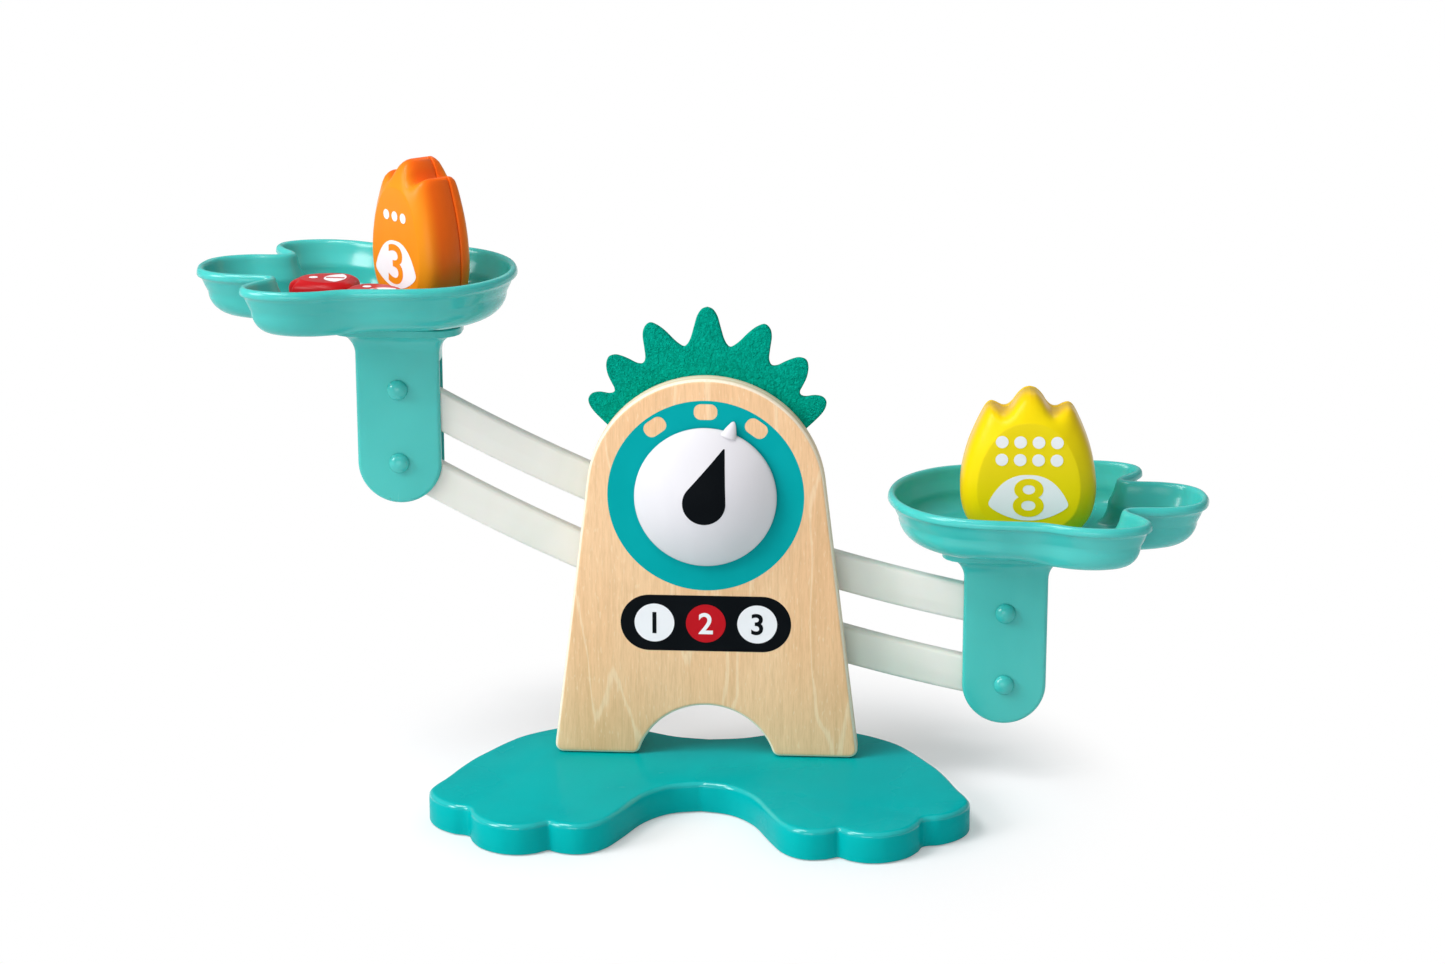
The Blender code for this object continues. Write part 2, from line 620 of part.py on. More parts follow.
def build_pivots(steel, nylon):
    """Make the bushes, the fixed lower pivot and the stop pins."""
    bore = SHAFT_RADIUS + TURN_GAP
    for word, way, face, far in (("front", 1, FRONT_BACK, FRONT_FACE),
                                 ("rear", -1, REAR_FACE, REAR_BACK)):
        flange_end = BEAM_FRONT - GAP if way > 0 else BEAM_BACK + GAP
        seat = face + way * GAP
        outer = bore + BUSH_WALL
        rings = [(bore, far), (outer, far), (outer, seat), (outer + BUSH_FLANGE, seat),
                 (outer + BUSH_FLANGE, flange_end), (bore, flange_end)]
        new_object(f"pivot_bush_{word}", ring_solid(rings), nylon).location.z = PIVOT_Z
        washer = tube(LOWER_PIVOT_RADIUS + TURN_GAP, LOWER_PIVOT_RADIUS + TURN_GAP
                      + LOWER_WASHER_WALL, min(seat, flange_end), max(seat, flange_end))
        place = new_object(f"lower_pivot_washer_{word}", washer, nylon)
        place.location.z = PIVOT_Z - LINK_SPACING
    pin = rod(LOWER_PIVOT_RADIUS, FRONT_BACK - LOWER_PIVOT_SEAT, REAR_FACE + LOWER_PIVOT_SEAT)
    new_object("lower_pivot_pin", pin, steel).location.z = PIVOT_Z - LINK_SPACING
    for side, word in ((-1, "left"), (1, "right")):
        x, z = stop_pin_place(side)
        pin = rod(STOP_PIN_RADIUS, FRONT_BACK - STOP_PIN_SEAT, REAR_FACE + STOP_PIN_SEAT)
        new_object(f"stop_pin_{word}", pin, steel).location = (x, 0, z)


def ring_solid(profile, sides=ROUND_SIDES):
    """Turn a closed profile of (radius, place) pairs about Y."""
    bm = bmesh.new()
    rings = [[bm.verts.new((x, place, z)) for x, z in circle(radius, sides)]
             for radius, place in profile]
    for low, high in zip(rings, rings[1:] + rings[:1]):
        for i in range(sides):
            k = (i + 1) % sides
            bm.faces.new((low[i], low[k], high[k], high[i]))
    bmesh.ops.recalc_face_normals(bm, faces=bm.faces)
    return bm


# ================================================================ beams
def bar_outline():
    """Return the curved bar with its round ends, pivot at the origin."""
    steps = BAR_STEPS
    half = BEAM_DEPTH / 2
    slope = 2 * (BEAM_SAG - PIN_DROP) / ARM_LENGTH
    places = [ARM_LENGTH * (2 * i / steps - 1) for i in range(steps + 1)]
    top, under = [], []
    for x in places:
        lean = math.atan(slope * x / ARM_LENGTH)
        across = (-math.sin(lean) * half, math.cos(lean) * half)
        middle = (x, beam_line(x))
        top.append((middle[0] + across[0], middle[1] + across[1]))
        under.append((middle[0] - across[0], middle[1] - across[1]))
    lean = math.atan(slope)
    right = arc((ARM_LENGTH, -PIN_DROP), half, lean - math.pi / 2, lean + math.pi / 2,
                2 * ARC_STEPS)
    left = [(-x, z) for x, z in reversed(right)]
    return under[1:-1] + right + list(reversed(top))[1:-1] + left


def build_beam(name, hub_radius, hole_radius, pin_gap, plastic):
    """Make one curved beam with a hub above its middle."""
    beam = new_object(name, plate(bar_outline(), BEAM_FRONT, BEAM_BACK, BEAM_EDGE_ROUND,
                                  BEAM_EDGE_ROUND, bands=1), plastic)
    neck = [(-hub_radius, -BEAM_SAG), (hub_radius, -BEAM_SAG)] + arc(
        (0, 0), hub_radius, 0, math.pi, 2 * ARC_STEPS)
    join(beam, plate(neck, BEAM_FRONT, BEAM_BACK))
    cut(beam, rod(hole_radius, BEAM_FRONT - OVERRUN, BEAM_BACK + OVERRUN))
    for side in (-1, 1):
        hole = rod(PIN_RADIUS + pin_gap, BEAM_FRONT - OVERRUN, BEAM_BACK + OVERRUN)
        cut(beam, moved(hole, x=side * ARM_LENGTH, z=-PIN_DROP))
    return beam


def relief_outline():
    """Return what the lower beam's hub sweeps past the upper beam as the two tilt."""
    swing = [tilted(0, -LINK_SPACING, TILT * (2 * i / UPPER_RELIEF_STEPS - 1))
             for i in range(UPPER_RELIEF_STEPS + 1)]
    swing.sort()
    left, right = swing[0], swing[-1]
    radius = LOWER_HUB_RADIUS + HUB_GAP
    low = left[1] - radius
    crown = [(x, z + radius) for x, z in swing[1:-1]]
    return ([(left[0] - radius, low)] + arc(left, radius, math.pi, math.pi / 2, ARC_STEPS)
            + crown + arc(right, radius, math.pi / 2, 0, ARC_STEPS)
            + [(right[0] + radius, low)])


def build_dome(axis, plastic):
    """Make the domed pointer: a shell with a rim, a boss for the shaft and a spur."""
    rise = DOME_HEIGHT - DOME_RIM
    back = FRONT_FACE - DOME_STAND_OFF
    front = back - DOME_RIM
    sphere = (DOME_RADIUS ** 2 + rise ** 2) / (2 * rise)
    half = math.asin(DOME_RADIUS / sphere)
    outer = [(0.0, front - rise)]
    for i in range(1, DOME_RINGS + 1):
        a = half * i / DOME_RINGS
        outer.append((sphere * math.sin(a), front - rise + sphere * (1 - math.cos(a))))
    outer.append((DOME_RADIUS, back))
    inner_radius = DOME_RADIUS - DOME_WALL
    inner_sphere = sphere - DOME_WALL
    inner_half = math.asin(inner_radius / inner_sphere)
    start = math.asin(DOME_BOSS_RADIUS / inner_sphere)
    inner = [(inner_radius, back)]
    for i in range(DOME_HOLLOW_RINGS, -1, -1):
        a = start + (inner_half - start) * i / DOME_HOLLOW_RINGS
        inner.append((inner_sphere * math.sin(a),
                      front - rise + DOME_WALL + inner_sphere * (1 - math.cos(a))))
    boss = [(DOME_BOSS_RADIUS, back), (SHAFT_RADIUS + GAP, back),
            (SHAFT_RADIUS + GAP, shaft_front() - GAP), (0.0, shaft_front() - GAP)]
    dome = new_object("dome_pointer", turned(outer + inner + boss, DOME_SIDES), plastic)
    root = DOME_RADIUS - DOME_WALL
    spur = [(x * SPUR_WIDTH, root + r * (SPUR_TIP - root)) for x, r in SPUR_SHARES]
    join(dome, plate(spur, back - SPUR_HEIGHT, back, PANEL_EDGE_ROUND / 2, 0.0))
    dome.parent = axis
    return dome


def shaft_front():
    """Return how far forward the shaft reaches into the dome's boss."""
    return FRONT_FACE - DOME_STAND_OFF - (DOME_HEIGHT - 2 * DOME_WALL)


def build_shaft(axis, steel, plastic):
    """Make the turning shaft and the cap on its tail."""
    tail = REAR_BACK + SHAFT_TAIL
    shaft = new_object("pivot_shaft", rod(SHAFT_RADIUS, shaft_front(), tail), steel)
    shaft.parent = axis
    low = REAR_BACK + GAP
    top = low + CAP_HEIGHT
    bore = SHAFT_RADIUS + GAP
    profile = [(0.0, tail + GAP), (bore, tail + GAP), (bore, low), (CAP_RADIUS, low)]
    for i in range(1, 4):
        a = math.pi / 2 * i / 4
        profile.append((CAP_RADIUS * math.cos(a), low + (top - low) * math.sin(a)))
    profile.append((0.0, top))
    cap = new_object("pivot_cap", turned(profile), plastic)
    cap.parent = axis


# ================================================================ hangers and pans
def build_hanger(word, side, axis, plastic):
    """Make one hanger: a channel open towards the frame, flaring to a collar."""
    half = HANGER_WIDTH / 2
    front = HANGER_FRONT
    back = HANGER_BACK
    low = (0.0, -LINK_SPACING)
    outline = arc(low, half, -math.pi, 0, 4 * ARC_STEPS) + [(half, NECK_TOP), (-half, NECK_TOP)]
    hanger = new_object(f"{word}_hanger", plate(outline, front, back, HANGER_WALL / 2,
                                                HANGER_WALL / 2, bands=1), plastic)
    slim = HANGER_DEPTH / 2 - HANGER_WALL / 2
    rings = []
    levels = [(NECK_TOP - HANGER_WALL, 0.0)]
    levels += [(NECK_TOP + up * (COLLAR_BASE - NECK_TOP), out) for up, out in HANGER_FLARE_SHARES]
    levels.append((COLLAR_TOP, 1.0))
    for z, share in levels:
        length = HANGER_WIDTH - HANGER_WALL + share * (COLLAR_LENGTH - HANGER_WIDTH + HANGER_WALL)
        depth = 2 * slim + share * (COLLAR_DEPTH - 2 * slim)
        corner = HANGER_WALL + share * (COLLAR_CORNER - HANGER_WALL)
        rings.append([(x, BEAM_Y + y, z) for x, y in rounded_rectangle(length, depth, corner)])
    plug_length = COLLAR_LENGTH - 2 * (PAN_SKIRT_WALL + PLUG_INSET)
    plug_depth = COLLAR_DEPTH - 2 * (PAN_SKIRT_WALL + PLUG_INSET)
    plug_corner = COLLAR_CORNER - PAN_SKIRT_WALL - PLUG_INSET
    for z in (COLLAR_TOP, PAN_FLOOR_HEIGHT - GAP):
        rings.append([(x, BEAM_Y + y, z)
                      for x, y in rounded_rectangle(plug_length, plug_depth, plug_corner)])
    join(hanger, loft(rings))
    inner = half - HANGER_WALL
    below = low[1] - half - OVERRUN
    past = -half - OVERRUN
    channel = arc(low, inner, 0, -math.pi / 2, 2 * ARC_STEPS) + [
        (0.0, below), (past, below), (past, HANGER_CHANNEL_TOP), (inner, HANGER_CHANNEL_TOP)]
    cut(hanger, plate(channel, front + HANGER_WALL, back - HANGER_WALL))
    for z in (0.0, -LINK_SPACING):
        cut(hanger, moved(rod(PIN_RADIUS + GAP, front - OVERRUN, back + OVERRUN), z=z))
    mesh = bmesh.new()
    mesh.from_mesh(hanger.data)
    flipped(mesh, side)
    mesh.to_mesh(hanger.data)
    mesh.free()
    hanger.parent = axis


def build_hanger_pins(word, axis, steel, plastic):
    """Make the two pins of a hanger with domed heads, and the caps on their tails."""
    for level, z in (("upper", 0.0), ("lower", -LINK_SPACING)):
        tail = HANGER_BACK + PIN_HEAD_HEIGHT / 2
        for kind, low, way in (("pin", HANGER_FRONT - GAP, -1), ("cap", HANGER_BACK + GAP, 1)):
            dome = []
            for i in range(3):
                a = math.pi / 2 * i / 3
                dome.append((PIN_HEAD_RADIUS * math.cos(a),
                             low + way * PIN_HEAD_HEIGHT * math.sin(a)))
            dome.append((0.0, low + way * PIN_HEAD_HEIGHT))
            if kind == "pin":
                profile = [(0.0, tail), (PIN_RADIUS, tail), (PIN_RADIUS, low)] + dome
            else:
                bore = PIN_RADIUS + GAP
                profile = [(0.0, tail + GAP), (bore, tail + GAP), (bore, low)] + dome
            name = f"{word}_{level}_{kind}"
            thing = new_object(name, turned(profile, SMALL_SIDES), plastic)
            thing.location = (0, 0, z)
            thing.parent = axis


def pan_outline(column):
    """Return the clover rim or its floor, long lobe towards +X, round the hanger's axis."""
    half = []
    for row in smooth_open(PAN_SHARES, 2):
        a = math.radians(row[0])
        half.append((PAN_REACH * row[column] * math.cos(a), PAN_REACH * row[column] * math.sin(a)))
    return anticlockwise(half + [(x, -y) for x, y in reversed(half[1:-1])])


def build_pan(word, side, axis, plastic):
    """Make one clover pan: a floor, leaning walls, a rolled rim and a skirt."""
    rim, floor_edge = pan_outline(1), pan_outline(2)
    outer_foot = inset(rim, PAN_FOOT_INSET - PAN_WALL)
    inner_foot = inset(rim, PAN_FOOT_INSET)
    wall_top = PAN_RIM - PAN_BEAD_HEIGHT
    outer_round = PAN_FLOOR_ROUND + PAN_WALL
    levels = [(between(outer_foot, floor_edge, drawn_in), PAN_FLOOR_HEIGHT + outer_round * up)
              for drawn_in, up in PAN_ROUND_SHARES]
    levels.append((inset(rim, PAN_BEAD - PAN_WALL), wall_top))
    levels += [(inset(rim, PAN_BEAD * across), wall_top + PAN_BEAD_HEIGHT * up)
               for across, up in PAN_BEAD_SHARES]
    levels += [(between(inner_foot, floor_edge, drawn_in), PAN_FLOOR_TOP + PAN_FLOOR_ROUND * up)
               for drawn_in, up in reversed(PAN_ROUND_SHARES)]
    rings = [[(x, BEAM_Y + y, z) for x, y in outline] for outline, z in levels]
    pan = new_object(f"{word}_pan", loft(rings), plastic)
    skirt = loft([[(x, BEAM_Y + y, z) for x, y in
                   rounded_rectangle(COLLAR_LENGTH, COLLAR_DEPTH, COLLAR_CORNER)]
                  for z in (COLLAR_TOP + GAP, PAN_FLOOR_HEIGHT + PAN_FLOOR / 2)])
    join(pan, skirt)
    wall = PAN_SKIRT_WALL + PLUG_INSET - GAP
    socket = loft([[(x, BEAM_Y + y, z) for x, y in rounded_rectangle(
        COLLAR_LENGTH - 2 * wall, COLLAR_DEPTH - 2 * wall, COLLAR_CORNER - wall)]
        for z in (COLLAR_TOP - OVERRUN, PAN_FLOOR_HEIGHT)])
    cut(pan, socket)
    mesh = bmesh.new()
    mesh.from_mesh(pan.data)
    flipped(mesh, side)
    mesh.to_mesh(pan.data)
    mesh.free()
    pan.parent = axis


# ================================================================ weights
def weight_outline(width, height):
    """Return a weight's front outline: an egg with a three-point crown."""
    half = [(x * width, z * height) for x, z in smooth_open(WEIGHT_SHARES, 1)]
    return anticlockwise(mirrored(half))


def scaled_ring(outline, share, middle, depth):
    """Return the outline drawn in towards its middle, at a depth."""
    return [(x * share, depth, middle + (z - middle) * share) for x, z in outline]


def weight_shells(name, axis, sizes, paint):
    """Make a weight's front and back shells, and the steel slug inside."""
    width, height, thickness, slug_radius = sizes
    outline = weight_outline(width, height)
    middle = height * WEIGHT_MIDDLE_SHARE
    wall_share = 1 - 2 * WEIGHT_WALL / width
    front, back = -thickness / 2, thickness / 2
    seam = back - WEIGHT_BACK_SHARE * thickness
    for word, face, edge, depth in (
            ("front", front, seam - GAP / 2, WEIGHT_ROUND_SHARE * thickness),
            ("back", back, seam + GAP / 2, -WEIGHT_BACK_ROUND_SHARE * thickness)):
        way = 1 if depth > 0 else -1
        rings = [scaled_ring(outline, s, middle, face + depth * d) for s, d in WEIGHT_EDGE_SHARES]
        if way > 0:
            rings.append(scaled_ring(outline, 1.0, middle, edge))
        else:
            rings[-1] = scaled_ring(outline, 1.0, middle, edge)
        rings.append(scaled_ring(outline, wall_share, middle, edge))
        rings.append(scaled_ring(outline, wall_share * WEIGHT_EDGE_SHARES[0][0], middle,
                                 face + way * WEIGHT_WALL))
        shell = new_object(f"{name}_{word}", loft(rings), paint)
        shell.parent = axis
    low, high = front + WEIGHT_WALL + GAP, back - WEIGHT_WALL - GAP
    return moved(rod(slug_radius, low, high), z=middle)


def build_weight(name, sizes, place, turn, lying, paint, steel, parent):
    """Make one weight, standing up or lying on its back."""
    axis = new_axis(f"{name}_axis", place, turn=turn, parent=parent)
    if lying:
        _, height, thickness, _ = sizes
        half = height / 2
        axis.rotation_euler = (-math.pi / 2, 0, turn)
        axis.location += Vector((half * math.sin(turn), -half * math.cos(turn),
                                 thickness / 2))
    slug = new_object(f"{name}_slug", weight_shells(name, axis, sizes, paint), steel)
    slug.parent = axis


# ================================================================ assembly
def hanger_place(side):
    """Return where a hanger's upper pin is with the beam tipped."""
    x, z = tilted(side * ARM_LENGTH, -PIN_DROP)
    return (x, 0.0, PIVOT_Z + z)


def build():
    """Build every piece of the balance."""
    for thing in list(bpy.data.objects):
        bpy.data.objects.remove(thing, do_unlink=True)
    wood = make_material("birch", (228, 197, 158), 0.45)
    paint = make_material("teal_paint", (1, 170, 172), 0.22)
    felt = make_material("green_felt", (3, 152, 130), 0.95)
    ivory = make_material("ivory_plastic", (235, 234, 228), 0.38)
    white = make_material("white_plastic", (244, 243, 246), 0.18)
    teal = make_material("teal_plastic", (80, 189, 187), 0.25)
    steel = make_material("steel", (190, 190, 192), 0.30, 1.0)
    nylon = make_material("nylon", (224, 222, 214), 0.45)
    orange = make_material("orange_plastic", (240, 132, 24), 0.25)
    yellow = make_material("yellow_plastic", (236, 218, 16), 0.25)
    red = make_material("red_plastic", (206, 36, 40), 0.25)

    build_base(paint)
    build_panels(wood)
    build_screws(steel)
    build_crest(felt, wood)
    build_leg_spacers(wood)
    build_pivots(steel, nylon)

    upper_axis = new_axis("upper_beam_axis", (0, 0, PIVOT_Z), tilt=TILT)
    upper = build_beam("upper_beam", UPPER_HUB_RADIUS, SHAFT_RADIUS + GAP, TURN_GAP, ivory)
    cut(upper, plate(relief_outline(), BEAM_FRONT - OVERRUN, BEAM_BACK + OVERRUN))
    upper.parent = upper_axis
    build_dome(upper_axis, white)
    build_shaft(upper_axis, steel, white)
    lower_axis = new_axis("lower_beam_axis", (0, 0, PIVOT_Z - LINK_SPACING), tilt=TILT)
    lower = build_beam("lower_beam", LOWER_HUB_RADIUS, LOWER_PIVOT_RADIUS + TURN_GAP,
                       OPEN_PIVOT_GAP, ivory)
    lower.parent = lower_axis

    carriers = {}
    for side, word in ((-1, "left"), (1, "right")):
        axis = new_axis(f"{word}_hanger_axis", hanger_place(side))
        build_hanger(word, side, axis, teal)
        build_hanger_pins(word, axis, steel, teal)
        build_pan(word, side, axis, teal)
        carriers[side] = axis

    floor = PAN_FLOOR_TOP + GAP
    build_weight("weight_8", LARGE_WEIGHT, (LARGE_WEIGHT_OUT, BEAM_Y + LARGE_WEIGHT_BACK, floor),
                 0.0, False, yellow, steel, carriers[1])
    build_weight("weight_3", MIDDLE_WEIGHT, (MIDDLE_WEIGHT_IN, BEAM_Y + MIDDLE_WEIGHT_BACK, floor),
                 MIDDLE_WEIGHT_TURN, False, orange, steel, carriers[-1])
    build_weight("weight_1_near", SMALL_WEIGHT,
                 (NEAR_SMALL_IN, BEAM_Y - NEAR_SMALL_FORWARD, floor), NEAR_SMALL_TURN, True,
                 red, steel, carriers[-1])
    build_weight("weight_1_far", SMALL_WEIGHT,
                 (-FAR_SMALL_OUT, BEAM_Y - FAR_SMALL_FORWARD, floor), FAR_SMALL_TURN, True,
                 red, steel, carriers[-1])
    for thing in bpy.data.objects:
        if thing.type == "MESH":
            thing.data.shade_smooth()
            thing.data.set_sharp_from_angle(angle=math.radians(35))


build()
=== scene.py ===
"""Dressed model of the wooden math balance.

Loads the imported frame, replaces its visible solids with finely modelled pieces that ride
on the same bodies, and gives every piece a node-based finish. Lengths are in metres and
colours are sRGB from 0 to 255.
"""
from __future__ import annotations

import json
import logging
import math
from abc import ABC, abstractmethod
from dataclasses import dataclass, fields
from enum import Enum
from functools import partialmethod
from typing import Callable, Iterable, Optional, Sequence, Union

import bmesh
import bpy
from mathutils import Matrix, Vector

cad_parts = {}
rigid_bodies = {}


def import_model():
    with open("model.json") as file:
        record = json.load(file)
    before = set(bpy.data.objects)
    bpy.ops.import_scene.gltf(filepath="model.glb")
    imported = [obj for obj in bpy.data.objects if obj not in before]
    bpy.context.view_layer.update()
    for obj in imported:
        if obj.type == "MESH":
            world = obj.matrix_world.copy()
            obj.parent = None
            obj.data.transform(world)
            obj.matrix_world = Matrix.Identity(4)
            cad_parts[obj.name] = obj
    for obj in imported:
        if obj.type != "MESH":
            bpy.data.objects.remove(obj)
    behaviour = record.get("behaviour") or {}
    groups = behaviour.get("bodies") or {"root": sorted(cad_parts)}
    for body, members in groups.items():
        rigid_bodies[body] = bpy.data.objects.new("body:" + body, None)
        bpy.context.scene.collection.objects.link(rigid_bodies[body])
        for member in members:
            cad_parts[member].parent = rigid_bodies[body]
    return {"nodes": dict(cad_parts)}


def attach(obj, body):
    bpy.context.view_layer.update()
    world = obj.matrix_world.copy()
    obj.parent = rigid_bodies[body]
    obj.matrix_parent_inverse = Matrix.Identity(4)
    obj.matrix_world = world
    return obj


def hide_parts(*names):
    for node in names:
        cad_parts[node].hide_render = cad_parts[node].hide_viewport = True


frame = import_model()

LOG = logging.getLogger("balance")
SIDE_SHARE = "side_share"       # mesh attribute: 0 on a weight's face, 1 on its sides, where shade is painted
QUARTER = math.pi / 2
PAST = 0.004                    # how far a cutter reaches past what it cuts
WHITE_LIGHT = (1.0, 1.0, 1.0, 1.0)

Point = tuple[float, float]
Outline = list[Point]
Colour = tuple[int, int, int]


# ------------------------------------------------------------------ shader trees
class Signal:
    """A socket's value in a shader tree; arithmetic on it adds Math nodes."""

    def __init__(self, tree: "Tree", socket: bpy.types.NodeSocket) -> None:
        """Wrap an output socket of a tree."""
        self.tree = tree
        self.socket = socket

    def _math(self, operation: str, *others: "Operand") -> "Signal":
        """Run a Math node on this value.

        Args:
            operation: the node's operation.
            others: the second operand, where the operation takes one.

        Returns:
            The result.
        """
        return self.tree.node("ShaderNodeMath", {"operation": operation},
                              dict(enumerate((self, *others))))

    def eased(self, low: float, high: float) -> "Signal":
        """Ease from 0 to 1 between two limits.

        Args:
            low: where the result is 0.
            high: where the result is 1.

        Returns:
            The eased value.
        """
        return self.tree.node("ShaderNodeMapRange", {"interpolation_type": "SMOOTHSTEP"},
                              {"Value": self, "From Min": low, "From Max": high})

    __add__ = __radd__ = partialmethod(_math, "ADD")
    __sub__ = partialmethod(_math, "SUBTRACT")
    __mul__ = partialmethod(_math, "MULTIPLY")
    __truediv__ = partialmethod(_math, "DIVIDE")
    __abs__ = partialmethod(_math, "ABSOLUTE")
    at_least = partialmethod(_math, "MAXIMUM")
    at_most = partialmethod(_math, "MINIMUM")
    above = partialmethod(_math, "GREATER_THAN")
    fraction = partialmethod(_math, "FRACT")


Operand = Union[Signal, float, int]
Tone = Union[Signal, Colour]


def tone(value: Tone) -> Union[Signal, tuple[float, float, float, float]]:
    """Turn an sRGB colour in 0-255 into a linear one, and pass a signal through."""
    if isinstance(value, Signal):
        return value
    parts = [c / 255 for c in value]
    linear = [((c + 0.055) / 1.055) ** 2.4 if c > 0.04 else c / 12.92 for c in parts]
    return (*linear, 1.0)


class Tree:
    """A shader node tree under construction."""

    def __init__(self, tree: bpy.types.NodeTree) -> None:
        """Take over a tree that has its output node."""
        self.tree = tree

    def node(self, kind: str, settings: Optional[dict] = None,
             inputs: Optional[dict] = None, output: Union[int, str] = 0) -> Signal:
        """Add a node.

        Args:
            kind: the node's type.
            settings: properties set before its sockets are.
            inputs: values or signals by socket name or number.
            output: the socket that is returned.

        Returns:
            The chosen output.
        """
        made = self.tree.nodes.new(kind)
        for key, value in (settings or {}).items():
            setattr(made, key, value)
        for key, value in (inputs or {}).items():
            if isinstance(value, Signal):
                self.tree.links.new(value.socket, made.inputs[key])
            else:
                made.inputs[key].default_value = value
        return Signal(self, made.outputs[output])

    def ray(self, kind: str) -> Signal:
        """Return 1 for rays of a kind, such as Camera, else 0."""
        return self.node("ShaderNodeLightPath", output=f"Is {kind} Ray")

    def white(self, kind: str, strength: float) -> Signal:
        """Return white light from an Emission or a Background node."""
        return self.node(f"ShaderNode{kind}", None,
                         {"Color": WHITE_LIGHT, "Strength": strength})

    def blended(self, share: "Operand", first: Signal, second: Signal) -> Signal:
        """Return a mix of two shaders, with a share of the second."""
        return self.node("ShaderNodeMixShader", None, {0: share, 1: first, 2: second})

    def end(self, shader: Signal) -> None:
        """Lead a shader to the tree's output."""
        output = next(n for n in self.tree.nodes if n.type.startswith("OUTPUT"))
        self.tree.links.new(shader.socket, output.inputs["Surface"])


@dataclass(frozen=True)
class Grain:
    """A soft noise for a surface."""

    scale: float                # cells per metre
    detail: float = 2.0         # how many finer layers it has
    rough: float = 0.5          # how strong the finer layers are
    bend: float = 0.0           # how far it distorts itself
    stretch: Optional[tuple[float, float, float]] = None        # what its place is times


class Shade(Tree):
    """A material under construction: one Principled shader and what feeds it."""

    def __init__(self, name: str) -> None:
        """Start a material under a name."""
        self.material = bpy.data.materials.new(name)
        self.material.use_nodes = True
        super().__init__(self.material.node_tree)
        self.principled = self.tree.nodes["Principled BSDF"]
        self.coordinates = self.tree.nodes.new("ShaderNodeTexCoord")

    @property
    def place(self) -> Signal:
        """The point on the piece, in its own coordinates."""
        return Signal(self, self.coordinates.outputs["Object"])

    def part(self, vector: Signal, axis: int) -> Signal:
        """Return one of a vector's three parts."""
        return self.node("ShaderNodeSeparateXYZ", None, {0: vector}, axis)

    def facing(self, axis: int) -> Signal:
        """Return how far the surface faces along one of the piece's own axes."""
        return self.part(Signal(self, self.coordinates.outputs["Normal"]), axis)

    def changed(self, vector: Signal, operation: str, amount: Sequence[float]) -> Signal:
        """Return a vector with a number added to each part, or each part multiplied."""
        return self.node("ShaderNodeVectorMath", {"operation": operation},
                         {0: vector, 1: tuple(amount)})

    def noise(self, grain: Grain, at: Optional[Signal] = None) -> Signal:
        """Return a soft noise.

        Args:
            grain: its kind.
            at: where it is read, if not at the piece's own coordinates.

        Returns:
            The noise, about 0.5 on average.
        """
        at = at or self.place
        if grain.stretch:
            at = self.changed(at, "MULTIPLY", grain.stretch)
        return self.node("ShaderNodeTexNoise", None,
                         {"Vector": at, "Scale": grain.scale, "Detail": grain.detail,
                          "Roughness": grain.rough, "Distortion": grain.bend})

    def glaze(self, base: Tone, *coats: tuple[Signal, float, Tone]) -> Signal:
        """Lay colours over a base, one on another.

        Args:
            base: the first colour.
            coats: where each next one shows, 0 to 1, how strongly, and the colour.

        Returns:
            The colour that they come to.
        """
        for mask, strength, colour in coats:
            share = mask if strength == 1 else mask * strength
            base = self.node("ShaderNodeMix", {"data_type": "RGBA"},
                             {0: share, 6: tone(base), 7: tone(colour)}, 2)
        return base

    def relief(self, depths: Sequence[float], *heights: Signal) -> Signal:
        """Tilt the surface by heights that lie on each other.

        Args:
            depths: how deep 1 is in each height, in metres.
            heights: the heights, 0 to 1.

        Returns:
            The surface direction.
        """
        under: dict = {}
        for height, depth in zip(heights, depths):
            made = self.node("ShaderNodeBump", None,
                             {"Height": height, "Distance": depth, "Strength": 1.0, **under})
            under = {"Normal": made}
        return made

    def dress(self, **inputs: Union[Signal, float, Tone]) -> None:
        """Set the shader's sockets.

        Args:
            inputs: values or signals by socket name, with _ for a space.
        """
        for key, value in inputs.items():
            socket = self.principled.inputs[key.replace("_", " ")]
            if isinstance(value, Signal):
                self.tree.links.new(value.socket, socket)
            else:
                socket.default_value = tone(value) if isinstance(value, tuple) else value


# ------------------------------------------------------------------ finishes
class Finish(ABC):
    """Something that can be turned into a material."""

    def build(self, name: str) -> bpy.types.Material:
        """Make the material under a name."""
        shade = Shade(name)
        self.paint(shade)
        return shade.material

    def noises(self, shade: Shade, at: Optional[Signal] = None) -> list[Signal]:
        """Return the finish's own noises, in the order of its fields."""
        values = (getattr(self, part.name) for part in fields(self))
        return [shade.noise(value, at) for value in values if isinstance(value, Grain)]

    @abstractmethod
    def paint(self, shade: Shade) -> None:
        """Feed the material's shader."""


